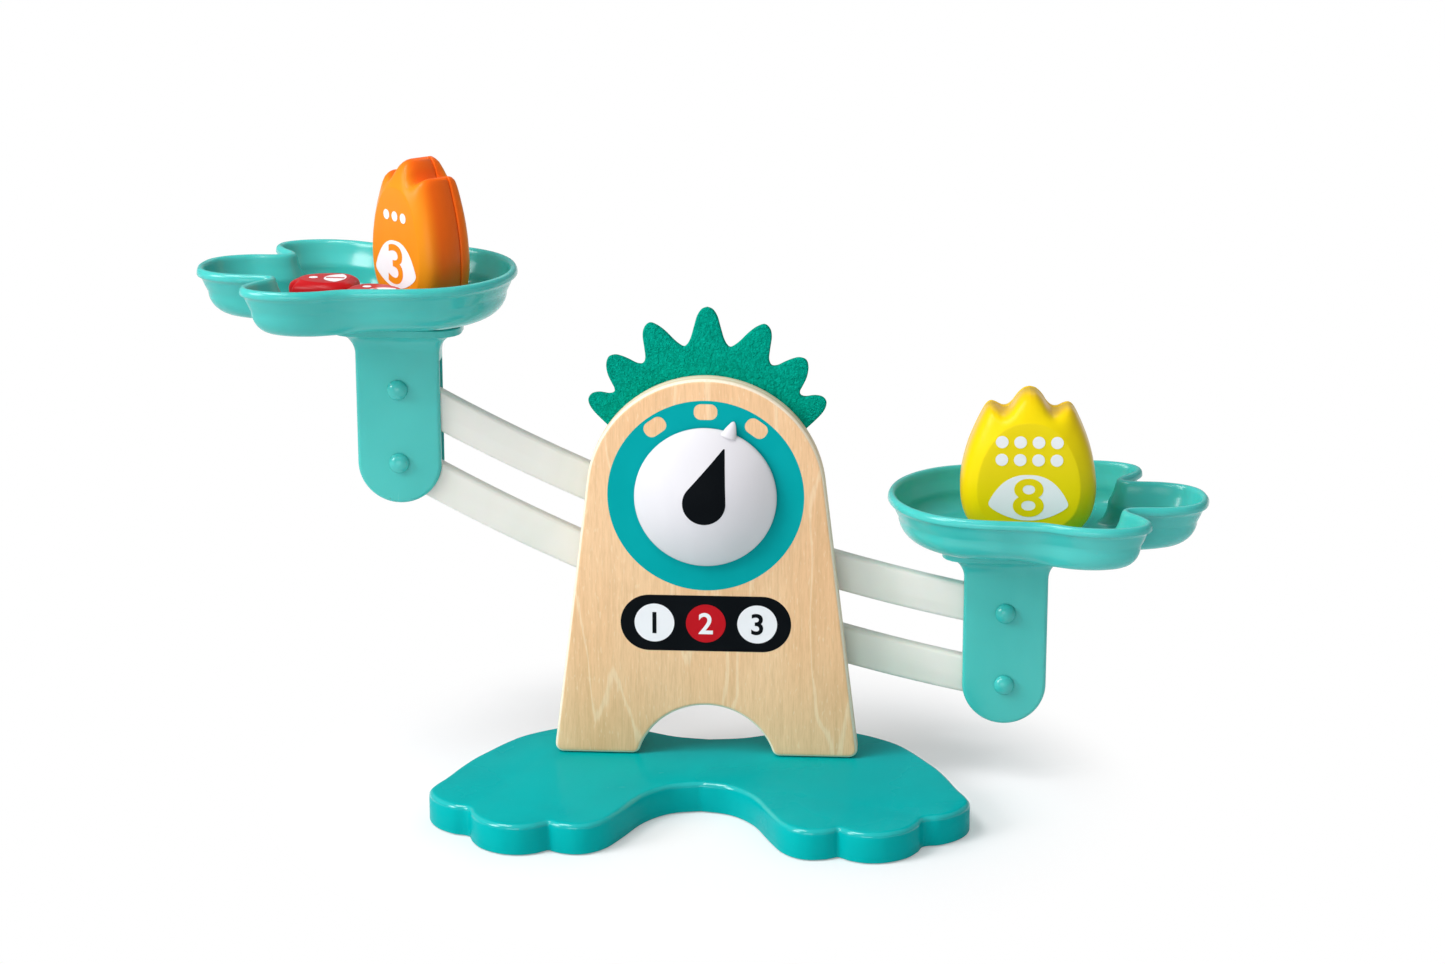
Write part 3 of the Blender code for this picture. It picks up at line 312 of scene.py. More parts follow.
@dataclass(frozen=True)
class BirchPly(Finish):
    """Clear-lacquered birch plywood: upright grain on its faces, layers on its edges."""

    light: Colour = (247, 207, 163)
    dark: Colour = (241, 194, 146)
    line: Colour = (196, 150, 98)
    figure: Colour = (252, 229, 194)
    edge_light: Colour = (248, 236, 214)
    edge_dark: Colour = (226, 197, 156)
    layer: float = 0.0018
    seed: float = 0.0
    rings: float = 5.0
    depths: Sequence[float] = (0.00005, 0.00020)        # of the fibres and the broad waves
    broad: Grain = Grain(22.0, 3.0, 0.55, 0.4, (1.0, 1.0, 0.22))
    streak: Grain = Grain(420.0, 3.0, 0.6, 0.0, (1.0, 1.0, 0.045))
    fibre: Grain = Grain(1500.0, 3.0, 0.6, 0.0, (1.0, 1.0, 0.09))
    fleck: Grain = Grain(1000.0, 1.0, 0.5, 0.0, (1.0, 1.0, 0.25))
    wander: Grain = Grain(17.0, 3.0, 0.50, 0.3, (1.0, 1.0, 0.26))
    jog: Grain = Grain(260.0)
    end: Grain = Grain(1100.0, 2.0, 0.6, 0.0, (1.0, 3.0, 1.0))

    def paint(self, shade: Shade) -> None:
        """Draw growth rings and fibres on the faces, and glued layers on the edges."""
        at = shade.changed(shade.place, "ADD", (self.seed, self.seed * 0.7, self.seed * 1.3))
        broad, streak, fibre, fleck, wander, jog, end = self.noises(shade, at)
        waves = (wander * self.rings + streak * 0.16).fraction()
        curled = abs(waves - 0.5).eased(0.045, 0.010)
        beside = waves.eased(0.5, 0.62) * waves.eased(0.90, 0.62)
        face = shade.glaze(self.light,
                           (broad.eased(0.30, 0.72), 1, self.dark),
                           (streak.eased(0.42, 0.72), 0.18, self.line),
                           (beside, 0.16, self.line),
                           (curled, 0.46, self.figure),
                           (fibre.eased(0.38, 0.72), 0.24, self.line),
                           (fleck.eased(0.60, 0.74), 0.32, self.figure))
        depth = shade.part(shade.place, 1)
        second = (depth / (2 * self.layer)).fraction().above(0.5)
        glue = abs((depth / self.layer + jog * 0.22).fraction() - 0.5).eased(0.36, 0.44)
        edge = shade.glaze(self.edge_light,
                           (second, 0.55, self.edge_dark),
                           (glue, 0.30, self.line),
                           (end.eased(0.45, 0.70), 0.30, self.edge_dark))
        on_edge = abs(shade.facing(1)).eased(0.94, 0.80)
        relief = shade.relief(self.depths, fibre * 0.6 + streak * 0.4, broad)
        shade.dress(Base_Color=shade.glaze(face, (on_edge, 1, edge)), Normal=relief,
                    Roughness=0.40 + fibre * 0.12 + on_edge * 0.14,
                    Specular_IOR_Level=0.20, Coat_Weight=0.05, Coat_Roughness=0.30)


@dataclass(frozen=True)
class PaintedWood(Finish):
    """Thick gloss paint on a routed board."""

    colour: Colour = (1, 174, 174)
    shade_colour: Colour = (2, 160, 162)
    # lighter teal, used for the dust specks and for a painted highlight on the upturned rims
    worn: Colour = (40, 190, 188)
    specks: float = 160.0
    depths: Sequence[float] = (0.00003, 0.00003, 0.00025)       # peel, wood grain, swell
    cloud: Grain = Grain(22.0, 3.0, 0.55)
    grain: Grain = Grain(900.0, 2.0, 0.55, 0.0, (0.05, 1.0, 1.0))
    peel: Grain = Grain(1300.0)
    swell: Grain = Grain(55.0, 1.0)

    def paint(self, shade: Shade) -> None:
        """Cloud the colour, dust it, paint a highlight on the upturned rims and polish them."""
        cloud, grain, peel, swell = self.noises(shade)
        dust = shade.node("ShaderNodeTexVoronoi", None,
                          {"Vector": shade.place, "Scale": self.specks}).eased(0.055, 0.03)
        up = shade.facing(2)
        # the rims that turn upwards get a lighter teal: a painted highlight
        rim = up.eased(0.30, 0.55) * up.eased(0.96, 0.80)
        polish = up.eased(0.05, 0.22) * up.eased(0.97, 0.84) * 0.90 + 0.05
        colour = shade.glaze(self.colour,
                             (cloud.eased(0.35, 0.70), 0.6, self.shade_colour),
                             (rim, 0.35, self.worn), (dust, 0.20, self.worn))
        shade.dress(Base_Color=colour, Roughness=0.24 + cloud * 0.06 + dust * 0.2,
                    Normal=shade.relief(self.depths, peel, grain, swell),
                    Specular_IOR_Level=0.01, Coat_Weight=polish, Coat_Roughness=0.12)


@dataclass(frozen=True)
class PressedFelt(Finish):
    """Thick pressed felt with a matted, slightly pitted face."""

    colour: Colour = (2, 166, 143)
    deep: Colour = (0, 146, 124)
    lint: Colour = (20, 184, 160)
    depths: Sequence[float] = (0.00018, 0.00130)        # of the fibres and the tufts
    tufts: Grain = Grain(760.0, 2.0, 0.6, 0.7)
    mat: Grain = Grain(420.0, 3.0, 0.6, 0.6)
    fibre: Grain = Grain(2600.0, 2.0, 0.6, 1.5, (1.0, 1.0, 0.22))
    cross: Grain = Grain(2400.0, 2.0, 0.6, 1.5, (0.22, 1.0, 1.0))

    def paint(self, shade: Shade) -> None:
        """Mat two directions of fibres over tufts and pits, with painted shade darkening the
        pits.
        """
        tufts, mat, fibre, cross = self.noises(shade)
        colour = shade.glaze(self.deep,
                             (mat.eased(0.30, 0.70), 1, self.colour),
                             # painted shade: darker where the tufts' relief sinks into pits
                             (tufts.eased(0.50, 0.34), 0.22, self.deep),
                             ((fibre * cross).eased(0.26, 0.42), 0.35, self.lint))
        relief = shade.relief(self.depths, fibre * 0.5 + cross * 0.5, tufts)
        shade.dress(Base_Color=colour, Roughness=0.93 + mat * 0.06, Normal=relief,
                    Specular_IOR_Level=0.02)


@dataclass(frozen=True)
class Moulded(Finish):
    """Injection-moulded plastic with a fine surface, slight flow marks and, where a side colour
    is given, painted shade on a weight's sides.
    """

    colour: Colour
    shade_colour: Colour
    rough: float = 0.28
    coat: float = 0.0
    depth: float = 0.00002      # of the fine grain
    sink_depth: float = 0.00012
    glow: float = 0.0
    glow_reach: float = 0.004
    shine: float = 0.30
    # colour of the painted shade on a weight's sides, reached where the side share is 1
    side_colour: Optional[Colour] = None
    flow: Grain = Grain(28.0, 2.5, 0.5, 0.7, (1.0, 1.0, 0.45))
    fine: Grain = Grain(2200.0)
    sink: Grain = Grain(70.0, 1.0)
    scuff: Grain = Grain(700.0, 3.0, 0.6, 0.4, (1.0, 0.25, 0.06))

    def paint(self, shade: Shade) -> None:
        """Vary the colour with the flow, paint shade on a weight's sides where asked, and vary
        the gloss with fine grain and scuffs.
        """
        flow, fine, sink, scuff = self.noises(shade)
        colour = shade.glaze(self.colour, (flow.eased(0.30, 0.72), 1, self.shade_colour))
        # painted shade: the colour deepens and darkens from the face towards the sides
        if self.side_colour:
            side = shade.node("ShaderNodeAttribute", {"attribute_name": SIDE_SHARE},
                              output="Fac")
            colour = shade.glaze(colour, (side.eased(0.0, 1.0), 1, self.side_colour))
        shade.dress(Base_Color=colour,
                    Roughness=self.rough + fine * 0.05 + scuff.eased(0.66, 0.76) * 0.10,
                    Normal=shade.relief((self.depth, self.sink_depth), fine, sink),
                    Specular_IOR_Level=self.shine, Coat_Weight=self.coat, Coat_Roughness=0.08,
                    Subsurface_Weight=self.glow, Subsurface_Scale=self.glow_reach)


@dataclass(frozen=True)
class Print(Finish):
    """A printed film of ink: nearly flat colour with a fine dot grain."""

    colour: Colour
    rough: float = 0.34
    depth: float = 0.00003
    lift: int = 10              # how much lighter its clouds are
    grain: Grain = Grain(1500.0, 2.0, 0.6, 0.0, (1.0, 1.0, 0.05))
    cloud: Grain = Grain(60.0)

    def paint(self, shade: Shade) -> None:
        """Cloud the ink slightly and grain its surface."""
        grain, cloud = self.noises(shade)
        lighter = tuple(min(255, c + self.lift) for c in self.colour)
        colour = shade.glaze(self.colour, (cloud.eased(0.35, 0.75), 0.35, lighter))
        shade.dress(Base_Color=colour, Roughness=self.rough + grain * 0.10,
                    Normal=shade.relief([self.depth], grain), Specular_IOR_Level=0.03)


@dataclass(frozen=True)
class TurnedSteel(Finish):
    """Zinc-plated steel with fine turning marks round the piece."""

    colour: Colour = (196, 197, 200)
    dull: Colour = (160, 162, 166)
    depth: float = 0.00001
    marks: Grain = Grain(3000.0, 2.0, 0.6, 0.0, (0.2, 1.0, 1.0))
    cloud: Grain = Grain(300.0)

    def paint(self, shade: Shade) -> None:
        """Cloud the plating and mark it from turning."""
        marks, cloud = self.noises(shade)
        colour = shade.glaze(self.colour, (cloud.eased(0.35, 0.70), 1, self.dull))
        shade.dress(Base_Color=colour, Metallic=1.0, Roughness=0.26 + marks * 0.14,
                    Normal=shade.relief([self.depth], marks))


class Look(Enum):
    """The finishes on this balance."""

    BIRCH = BirchPly()
    BIRCH_REAR = BirchPly(seed=3.1)
    BIRCH_BLOCK = BirchPly(seed=7.7, layer=0.0030)
    TEAL_PAINT = PaintedWood()
    FELT = PressedFelt()
    IVORY = Moulded((236, 235, 228), (224, 227, 217), rough=0.36, glow=0.10)
    WHITE = Moulded((226, 224, 229), (221, 220, 225), rough=0.22, coat=0.03, depth=0.00001,
                    shine=0.10)
    TEAL = Moulded((72, 196, 190), (60, 187, 181), rough=0.17, depth=0.00001, glow=0.10,
                   shine=0.45)
    # the side colours below are painted shade on the weights' sides
    ORANGE = Moulded((238, 152, 30), (236, 140, 22), rough=0.30, shine=0.16,
                     side_colour=(248, 104, 16))
    YELLOW = Moulded((240, 217, 4), (237, 210, 3), rough=0.30, shine=0.16,
                     side_colour=(234, 192, 2))
    RED = Moulded((206, 26, 32), (186, 18, 26), rough=0.26, shine=0.15)
    NYLON = Moulded((226, 224, 214), (214, 212, 202), rough=0.42)
    STEEL = TurnedSteel()
    TEAL_INK = Print((0, 162, 166), 0.38)
    BLACK_INK = Print((9, 13, 17), 0.36)
    RED_INK = Print((188, 24, 34), 0.38)
    WHITE_INK = Print((238, 238, 242), 0.34)

    def material(self) -> bpy.types.Material:
        """Return the material, made the first time it is asked for."""
        name = f"{self.name.lower()}_finish"
        return bpy.data.materials.get(name) or self.value.build(name)


# ------------------------------------------------------------------ outlines
def turns(whole: float, steps: int) -> list[float]:
    """Return equal steps of an angle, from 0 to the whole of it."""
    return [whole * i / steps for i in range(steps + 1)]


def arc(centre: Point, radius: float, start: float, end: float, steps: int) -> Outline:
    """Return points on an arc, both ends included."""
    return [(centre[0] + radius * math.cos(start + turn),
             centre[1] + radius * math.sin(start + turn)) for turn in turns(end - start, steps)]


def circle(radius: float, steps: int = 48, centre: Point = (0.0, 0.0)) -> Outline:
    """Return a full circle."""
    return arc(centre, radius, 0.0, 2 * math.pi, steps)[:-1]


def placed(points: Outline, centre: Point, turn: float = 0.0) -> Outline:
    """Turn an outline about the origin, then move it to a centre."""
    c, s = math.cos(turn), math.sin(turn)
    return [(centre[0] + x * c - y * s, centre[1] + x * s + y * c) for x, y in points]


def scaled(shares: Sequence[Point], across: float, up: float, base: float = 0.0) -> Outline:
    """Return an outline from a table of shares of its size, raised to a base."""
    return [(x * across, base + y * up) for x, y in shares]


def rounded_bar(length: float, depth: float, radius: float, steps: int = 6) -> Outline:
    """Return a rectangle with round corners, centred on the origin."""
    x, y = length / 2 - radius, depth / 2 - radius
    points: Outline = []
    for k, centre in enumerate(((x, y), (-x, y), (-x, -y), (x, -y))):
        points += arc(centre, radius, k * QUARTER, (k + 1) * QUARTER, steps)
    return points


def curve(points: Sequence[Sequence[float]], steps: int) -> list[tuple]:
    """Return a smooth curve through points.

    Args:
        points: what it passes through, each with two or more numbers.
        steps: how many stretches lie between two points.

    Returns:
        The points on the curve.
    """
    last = len(points) - 1
    result: list[tuple] = []
    for i in range(last):
        near = [points[min(max(i + k, 0), last)] for k in (-1, 0, 1, 2)]
        for s in range(steps):
            t = s / steps
            result.append(tuple(
                0.5 * (2 * b + (c - a) * t + (2 * a - 5 * b + 4 * c - d) * t * t
                       + (3 * b - a - 3 * c + d) * t ** 3)
                for a, b, c, d in zip(*near)))
    return result + [tuple(points[-1])]


def mirrored(half: Outline) -> Outline:
    """Close a half outline whose ends lie on the middle line."""
    return list(half) + [(-x, y) for x, y in reversed(half[1:-1])]


def signed_area(points: Outline) -> float:
    """Return an outline's area, negative where it runs clockwise."""
    return sum(a[0] * b[1] - b[0] * a[1] for a, b in zip(points, points[1:] + points[:1])) / 2


def anticlockwise(points: Outline) -> Outline:
    """Return the outline running anticlockwise."""
    return list(points) if signed_area(points) > 0 else list(reversed(points))


def inset(points: Outline, distance: float) -> Outline:
    """Move an anticlockwise outline inwards along its own normals."""
    result: Outline = []
    count = len(points)
    for i in range(count):
        before, here, after = (Vector(points[(i + k) % count]) for k in (-1, 0, 1))
        a, b = (here - before).normalized(), (after - here).normalized()
        normal = Vector((-(a.y + b.y), a.x + b.x)).normalized()
        stretch = 1 / max(0.6, math.sqrt(max(0.0, (1 + a.dot(b)) / 2)))
        result.append(tuple(here + normal * (distance * stretch)))
    return result


def between(first: Outline, last: Outline, share: float) -> Outline:
    """Return the outline a share of the way from one outline to another."""
    return [tuple(Vector(p).lerp(Vector(q), share)) for p, q in zip(first, last)]


def rounded_corner(before: Point, corner: Point, after: Point, radius: float,
                   steps: int = 6) -> Outline:
    """Return the arc that rounds one corner of a polygon."""
    at = Vector(corner)
    a, b = (Vector(before) - at).normalized(), (Vector(after) - at).normalized()
    half = a.angle(b) / 2
    middle = at + (a + b).normalized() * (radius / math.sin(half))
    first = at + a * (radius / math.tan(half)) - middle
    last = at + b * (radius / math.tan(half)) - middle
    return [tuple(middle + Matrix.Rotation(turn, 2) @ first)
            for turn in turns(-first.angle_signed(last), steps)]


# ------------------------------------------------------------------ meshes
def linked(name: str, data: bpy.types.ID) -> bpy.types.Object:
    """Make an object for some data and put it in the scene."""
    thing = bpy.data.objects.new(name, data)
    bpy.context.scene.collection.objects.link(thing)
    return thing


def settled(thing: bpy.types.Object) -> bmesh.types.BMesh:
    """Return the mesh that an object's curves or modifiers come to, as an editable copy."""
    bpy.context.view_layer.update()
    done = thing.evaluated_get(bpy.context.evaluated_depsgraph_get())
    mesh = bpy.data.meshes.new_from_object(done)
    bm = bmesh.new()
    bm.from_mesh(mesh)
    bpy.data.meshes.remove(mesh)
    return bm


class Mould:
    """A mesh under construction, shaped with bmesh operators."""

    def __init__(self, bm: Optional[bmesh.types.BMesh] = None) -> None:
        """Start from an empty mesh or from a given one."""
        self.bm = bmesh.new() if bm is None else bm

    def ring(self, places: Iterable[Sequence[float]]) -> tuple[list, list]:
        """Add a closed ring of edges.

        Args:
            places: the corners in order.

        Returns:
            The ring's vertices and its edges.
        """
        verts = [self.bm.verts.new(place) for place in places]
        return verts, [self.bm.edges.new(pair) for pair in zip(verts, verts[1:] + verts[:1])]

    @classmethod
    def slab(cls, outline: Outline, low: float, high: float, upright: bool = True,
             holes: Sequence[Outline] = ()) -> "Mould":
        """Cut a slab to an outline.

        Args:
            outline: its edge, as X and Z where it stands upright, else X and Y.
            low: its near face along Y, or its lower face along Z.
            high: its far or upper face.
            upright: whether it stands.
            holes: outlines cut right through it.

        Returns:
            The closed slab.
        """
        mould = cls()
        edges = []
        for loop in (outline, *holes):
            edges += mould.ring((a, low, b) if upright else (a, b, low) for a, b in loop)[1]
        if holes:
            bmesh.ops.triangle_fill(mould.bm, edges=edges, use_beauty=True, use_dissolve=False)
        else:
            bmesh.ops.contextual_create(mould.bm, geom=edges)
        return mould.thicken((0, high - low, 0) if upright else (0, 0, high - low))

    @classmethod
    def turned(cls, profile: Sequence[Point], height: float = 0.0, steps: int = 48) -> "Mould":
        """Spin a profile about an axis along Y.

        Args:
            profile: radius and place along Y, from the axis back to the axis.
            height: how high the axis lies.
            steps: how many stretches go round.

        Returns:
            The closed solid.
        """
        mould = cls()
        bm = mould.bm
        verts = [bm.verts.new((radius, y, height)) for radius, y in profile]
        edges = [bm.edges.new(pair) for pair in zip(verts, verts[1:])]
        bmesh.ops.spin(bm, geom=verts + edges, cent=(0, 0, height), axis=(0, 1, 0),
                       angle=2 * math.pi, steps=steps, use_merge=True)
        bmesh.ops.remove_doubles(bm, verts=bm.verts, dist=1e-7)
        return mould.outward()

    @classmethod
    def loft(cls, rings: Sequence[Sequence[Sequence[float]]]) -> "Mould":
        """Draw the first ring out through the others and cap both ends.

        Args:
            rings: closed rings of as many points each.

        Returns:
            The closed solid.
        """
        mould = cls()
        bm = mould.bm
        verts, edges = mould.ring(rings[0])
        bmesh.ops.contextual_create(bm, geom=edges)
        for ring in rings[1:]:
            made = set(bmesh.ops.extrude_edge_only(bm, edges=edges)["geom"])
            verts = [next(e.other_vert(v) for e in v.link_edges if e.other_vert(v) in made)
                     for v in verts]
            for vert, place in zip(verts, ring):
                vert.co = place
            edges = [bm.edges.get(pair) for pair in zip(verts, verts[1:] + verts[:1])]
        bmesh.ops.contextual_create(bm, geom=edges)
        return mould.outward()

    def thicken(self, way: Sequence[float]) -> "Mould":
        """Draw flat faces out along a way to a closed solid."""
        made = bmesh.ops.extrude_face_region(self.bm, geom=list(self.bm.faces))["geom"]
        bmesh.ops.translate(self.bm, vec=way,
                            verts=[g for g in made if isinstance(g, bmesh.types.BMVert)])
        return self.outward()

    def outward(self) -> "Mould":
        """Point every face of a closed mesh outwards."""
        bmesh.ops.recalc_face_normals(self.bm, faces=self.bm.faces)
        if self.bm.calc_volume(signed=True) < 0:
            bmesh.ops.reverse_faces(self.bm, faces=self.bm.faces)
        return self

    def soften(self, radius: float, segments: int = 4, upright: bool = True,
               chosen: Callable[[Vector, Vector], bool] = lambda a, b: True) -> "Mould":
        """Round a slab's rims.

        Args:
            radius: the rounding.
            segments: how many bands it has.
            upright: whether the slab stands.
            chosen: says from an edge's two ends whether it is rounded.

        Returns:
            The same mesh.
        """
        way = 1 if upright else 2
        rims = []
        for edge in self.bm.edges:
            a, b = (v.co for v in edge.verts)
            level = abs(a[way] - b[way]) <= 1e-7
            if level and edge.calc_face_angle(0) >= math.radians(50) and chosen(a, b):
                rims.append(edge)
        bmesh.ops.bevel(self.bm, geom=rims, offset=radius, offset_type="OFFSET",
                        segments=segments, profile=0.5, affect="EDGES", clamp_overlap=False,
                        material=-1)
        return self

    def transform(self, matrix: Matrix) -> "Mould":
        """Move the mesh by a matrix."""
        bmesh.ops.transform(self.bm, matrix=matrix, verts=self.bm.verts)
        return self

    def flipped(self, side: int) -> "Mould":
        """Mirror the mesh across X for the left side."""
        if side < 0:
            bmesh.ops.scale(self.bm, vec=(-1, 1, 1), verts=self.bm.verts)
            bmesh.ops.reverse_faces(self.bm, faces=self.bm.faces)
        return self

    def loose(self, name: str) -> bpy.types.Object:
        """Hand the mesh over to an object."""
        mesh = bpy.data.meshes.new(name)
        self.bm.to_mesh(mesh)
        self.bm.free()
        return linked(name, mesh)

    def combined(self, other: "Mould", operation: str) -> "Mould":
        """Join another mesh on, or cut it out.

        Args:
            other: the other mesh, which is used up.
            operation: UNION or DIFFERENCE.

        Returns:
            The same mesh, changed.
        """
        base, tool = self.loose("base_form"), other.loose("tool_form")
        modifier = base.modifiers.new("form", "BOOLEAN")
        modifier.operation, modifier.solver, modifier.object = operation, "EXACT", tool
        self.bm = settled(base)
        bpy.data.batch_remove([base, base.data, tool, tool.data])
        return self

    cut = partialmethod(combined, operation="DIFFERENCE")
    join = partialmethod(combined, operation="UNION")

    def piece(self, name: str, look: Look, body: str, *nodes: str, slot: str = "",
              crease: float = 32.0) -> bpy.types.Object:
        """Finish the mesh as a named piece.

        Args:
            name: the piece's name.
            look: its finish.
            body: the body that it rides on.
            nodes: the CAD nodes that it stands for.
            slot: the record's material slot; not used.
            crease: the angle in degrees from which an edge stays sharp.

        Returns:
            The new object.
        """
        thing = self.loose(name)
        mesh = thing.data
        mesh.materials.append(look.material())
        mesh.shade_smooth()
        mesh.set_sharp_from_angle(angle=math.radians(crease))
        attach(thing, body)
        if nodes:
            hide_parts(*nodes)
        LOG.info("%s: %d faces on %s", name, len(mesh.polygons), body)
        return thing


def figure(text: str, height: float, weight: float, thickness: float) -> Mould:
    """Cut a number out of thin film.

    Args:
        text: what it says.
        height: how tall a digit stands, in metres.
        weight: how much thicker its strokes are, in metres.
        thickness: how thick the film is, in metres.

    Returns:
        A film that stands in the XZ plane, centred on the origin, and rises towards -Y.
    """
    letters = bpy.data.curves.new("numeral", "FONT")
    letters.body = text
    letters.resolution_u = 8
    letters.offset = weight / height * 0.7
    scratch = linked("numeral", letters)
    mould = Mould(settled(scratch))
    bpy.data.batch_remove([scratch, letters])
    bmesh.ops.remove_doubles(mould.bm, verts=mould.bm.verts, dist=1e-5)
    xs, ys, _ = zip(*(v.co for v in mould.bm.verts))
    middle = Vector(((max(xs) + min(xs)) / 2, (max(ys) + min(ys)) / 2, 0))
    mould.transform(Matrix.Translation(-middle))
    mould.transform(Matrix.Rotation(QUARTER, 4, "X")
                    @ Matrix.Scale(height / (max(ys) - min(ys)), 4))
    return mould.thicken((0, -thickness, 0))


# ------------------------------------------------------------------ shared places
@dataclass(frozen=True)
class Linkage:
    """Where the balance's pivots are, and how it stands in its rest pose."""

    base_top: float = 0.013
    rise: float = 0.1125
    spacing: float = 0.031
    arm: float = 0.133
    pin_drop: float = 0.0055
    tilt: float = math.radians(20)
    plane: float = 0.015

    @property
    def pivot(self) -> Vector:
        """The upper pivot."""
        return Vector((0, 0, self.base_top + self.rise))

    def tipped(self, level: float) -> Matrix:
        """Return the matrix that places a level beam whose pivot is at the origin.

        Args:
            level: how far its pivot is below the upper one.
        """
        return (Matrix.Translation(self.pivot - Vector((0, 0, level)))
                @ Matrix.Rotation(self.tilt, 4, "Y"))

    def hanger(self, side: int) -> Vector:
        """Return a hanger's upper pin, on the front panel's plane."""
        return self.tipped(0) @ Vector((side * self.arm, 0, -self.pin_drop))


LINKS = Linkage()


# ------------------------------------------------------------------ base and panels
@dataclass
class BaseBoard:
    """The painted board cut as two three-toed feet."""

    width: float = 0.2190
    thickness: float = 0.013
    top_round: float = 0.0022
    foot_round: float = 0.0010
    steps: int = 5
    half: Sequence[Point] = (           # right half from the front, in shares of the width
        (0.000, -0.141), (0.055, -0.157), (0.100, -0.205), (0.132, -0.279), (0.157, -0.332),
        (0.184, -0.360), (0.211, -0.369), (0.238, -0.365), (0.254, -0.357), (0.262, -0.352),
        (0.270, -0.357), (0.286, -0.369), (0.315, -0.378), (0.351, -0.373), (0.386, -0.350),
        (0.406, -0.319), (0.412, -0.301), (0.417, -0.292), (0.427, -0.287), (0.446, -0.282),
        (0.473, -0.262), (0.492, -0.235), (0.500, -0.206), (0.494, -0.178),
        (0.479, -0.141), (0.460, -0.084), (0.441, -0.036), (0.421, 0.002), (0.393, 0.052),
        (0.364, 0.093), (0.327, 0.125), (0.286, 0.150), (0.236, 0.166), (0.182, 0.164),
        (0.127, 0.141), (0.064, 0.111), (0.000, 0.100))

    def build(self) -> None:
        """Make and dress the board."""
        outline = mirrored(curve(scaled(self.half, self.width, self.width), self.steps))
        board = Mould.slab(anticlockwise(outline), 0.0, self.thickness, upright=False)
        board.soften(self.top_round, 6, False, lambda a, b: a.z > self.thickness / 2)
        board.soften(self.foot_round, 2, False, lambda a, b: a.z < self.thickness / 2)
        board.piece("painted_base", Look.TEAL_PAINT, "frame", "base_board", slot="teal_paint",
                    crease=40)


@dataclass
class Panels:
    """The two plywood arches that hold the linkage between them."""

    head: float = 0.049
    foot_width: float = 0.1268
    corner: float = 0.0035
    arch_radius: float = 0.0293
    arch_height: float = 0.022
    thickness: float = 0.009
    spacing: float = 0.012
    rear_inset: float = 0.005
    bore: float = 0.0056
    bore_margin: float = 0.001
    edge_round: float = 0.0018
    gap: float = 0.0003

    def outline(self, shrink: float) -> Outline:
        """Return an arch with a round head, leaning sides and two legs."""
        radius = self.head - shrink
        centre = (0.0, LINKS.pivot.z)
        floor = LINKS.base_top + self.gap
        foot = Vector((self.foot_width / 2 - shrink, floor))
        to_centre = Vector(centre) - foot
        lean = math.atan2(-to_centre.x, to_centre.y) - math.asin(radius / to_centre.length)
        head = arc(centre, radius, lean, QUARTER, 56)
        arch_radius = self.arch_radius + shrink
        arch_centre = (0.0, LINKS.base_top + self.arch_height - self.arch_radius)
        inner = math.asin((floor - arch_centre[1]) / arch_radius)
        arch = arc(arch_centre, arch_radius, QUARTER, inner, 30)
        taken = 3       # the arch's last points, whose place the rounded corner takes
        inside = rounded_corner(arch[-1 - taken], arch[-1], tuple(foot), self.corner)
        outside = rounded_corner(arch[-1], tuple(foot), head[0], self.corner)
        return mirrored(arch[:-taken] + inside + outside + head)

    def build(self) -> None:
        """Make and dress both panels."""
        rows = (("front_arch", "front_panel", 0.0, 0.0, Look.BIRCH),
                ("rear_arch", "rear_panel", self.thickness + self.spacing, self.rear_inset,
                 Look.BIRCH_REAR))
        for name, node, face, shrink, look in rows:
            hole = circle(self.bore, 40, (0.0, LINKS.pivot.z))
            panel = Mould.slab(anticlockwise(self.outline(shrink)), face,
                               face + self.thickness, holes=[hole])
            panel.soften(self.edge_round, 5, chosen=self.outside_bore)
            panel.piece(name, look, "frame", node, slot="birch", crease=40)

    def outside_bore(self, a: Vector, b: Vector) -> bool:
        """Return whether an edge lies outside the panel's bore."""
        return math.hypot(a.x, a.z - LINKS.pivot.z) > self.bore + self.bore_margin


@dataclass
class Crest:
    """The spiky sheet of felt behind the front panel's head."""

    head: float = 0.049
    tuck: float = 0.0110
    front: float = 0.0093
    thickness: float = 0.0030
    edge_round: float = 0.0007
    half: Sequence[Point] = (           # right half from the top, in shares of the head
        (0.000, 1.563), (0.046, 1.544), (0.084, 1.487), (0.109, 1.401), (0.138, 1.299),
        (0.167, 1.244), (0.201, 1.228), (0.267, 1.274), (0.343, 1.350), (0.410, 1.401),
        (0.476, 1.424), (0.522, 1.384), (0.535, 1.316), (0.522, 1.214), (0.514, 1.129),
        (0.535, 1.078), (0.585, 1.078), (0.644, 1.107), (0.711, 1.135), (0.769, 1.146),
        (0.823, 1.124), (0.840, 1.061), (0.828, 0.984), (0.798, 0.916), (0.773, 0.865),
        (0.777, 0.828), (0.819, 0.815), (0.894, 0.825), (0.957, 0.813), (0.991, 0.771),
        (0.978, 0.711), (0.928, 0.643), (0.815, 0.532))

    def build(self) -> None:
        """Cut and dress the felt."""
        pivot = LINKS.pivot.z
        edge = curve(scaled(self.half, self.head, self.head, pivot), 6)
        corner = math.atan2(edge[-1][1] - pivot, edge[-1][0])
        under = arc((0, pivot), self.head - self.tuck, corner, QUARTER, 24)
        outline = anticlockwise(mirrored(edge + under))
        felt = Mould.slab(outline, self.front, self.front + self.thickness)
        piece = felt.soften(self.edge_round, 3).piece(
            "felt_spikes", Look.FELT, "frame", "felt_crest", slot="green_felt", crease=50)


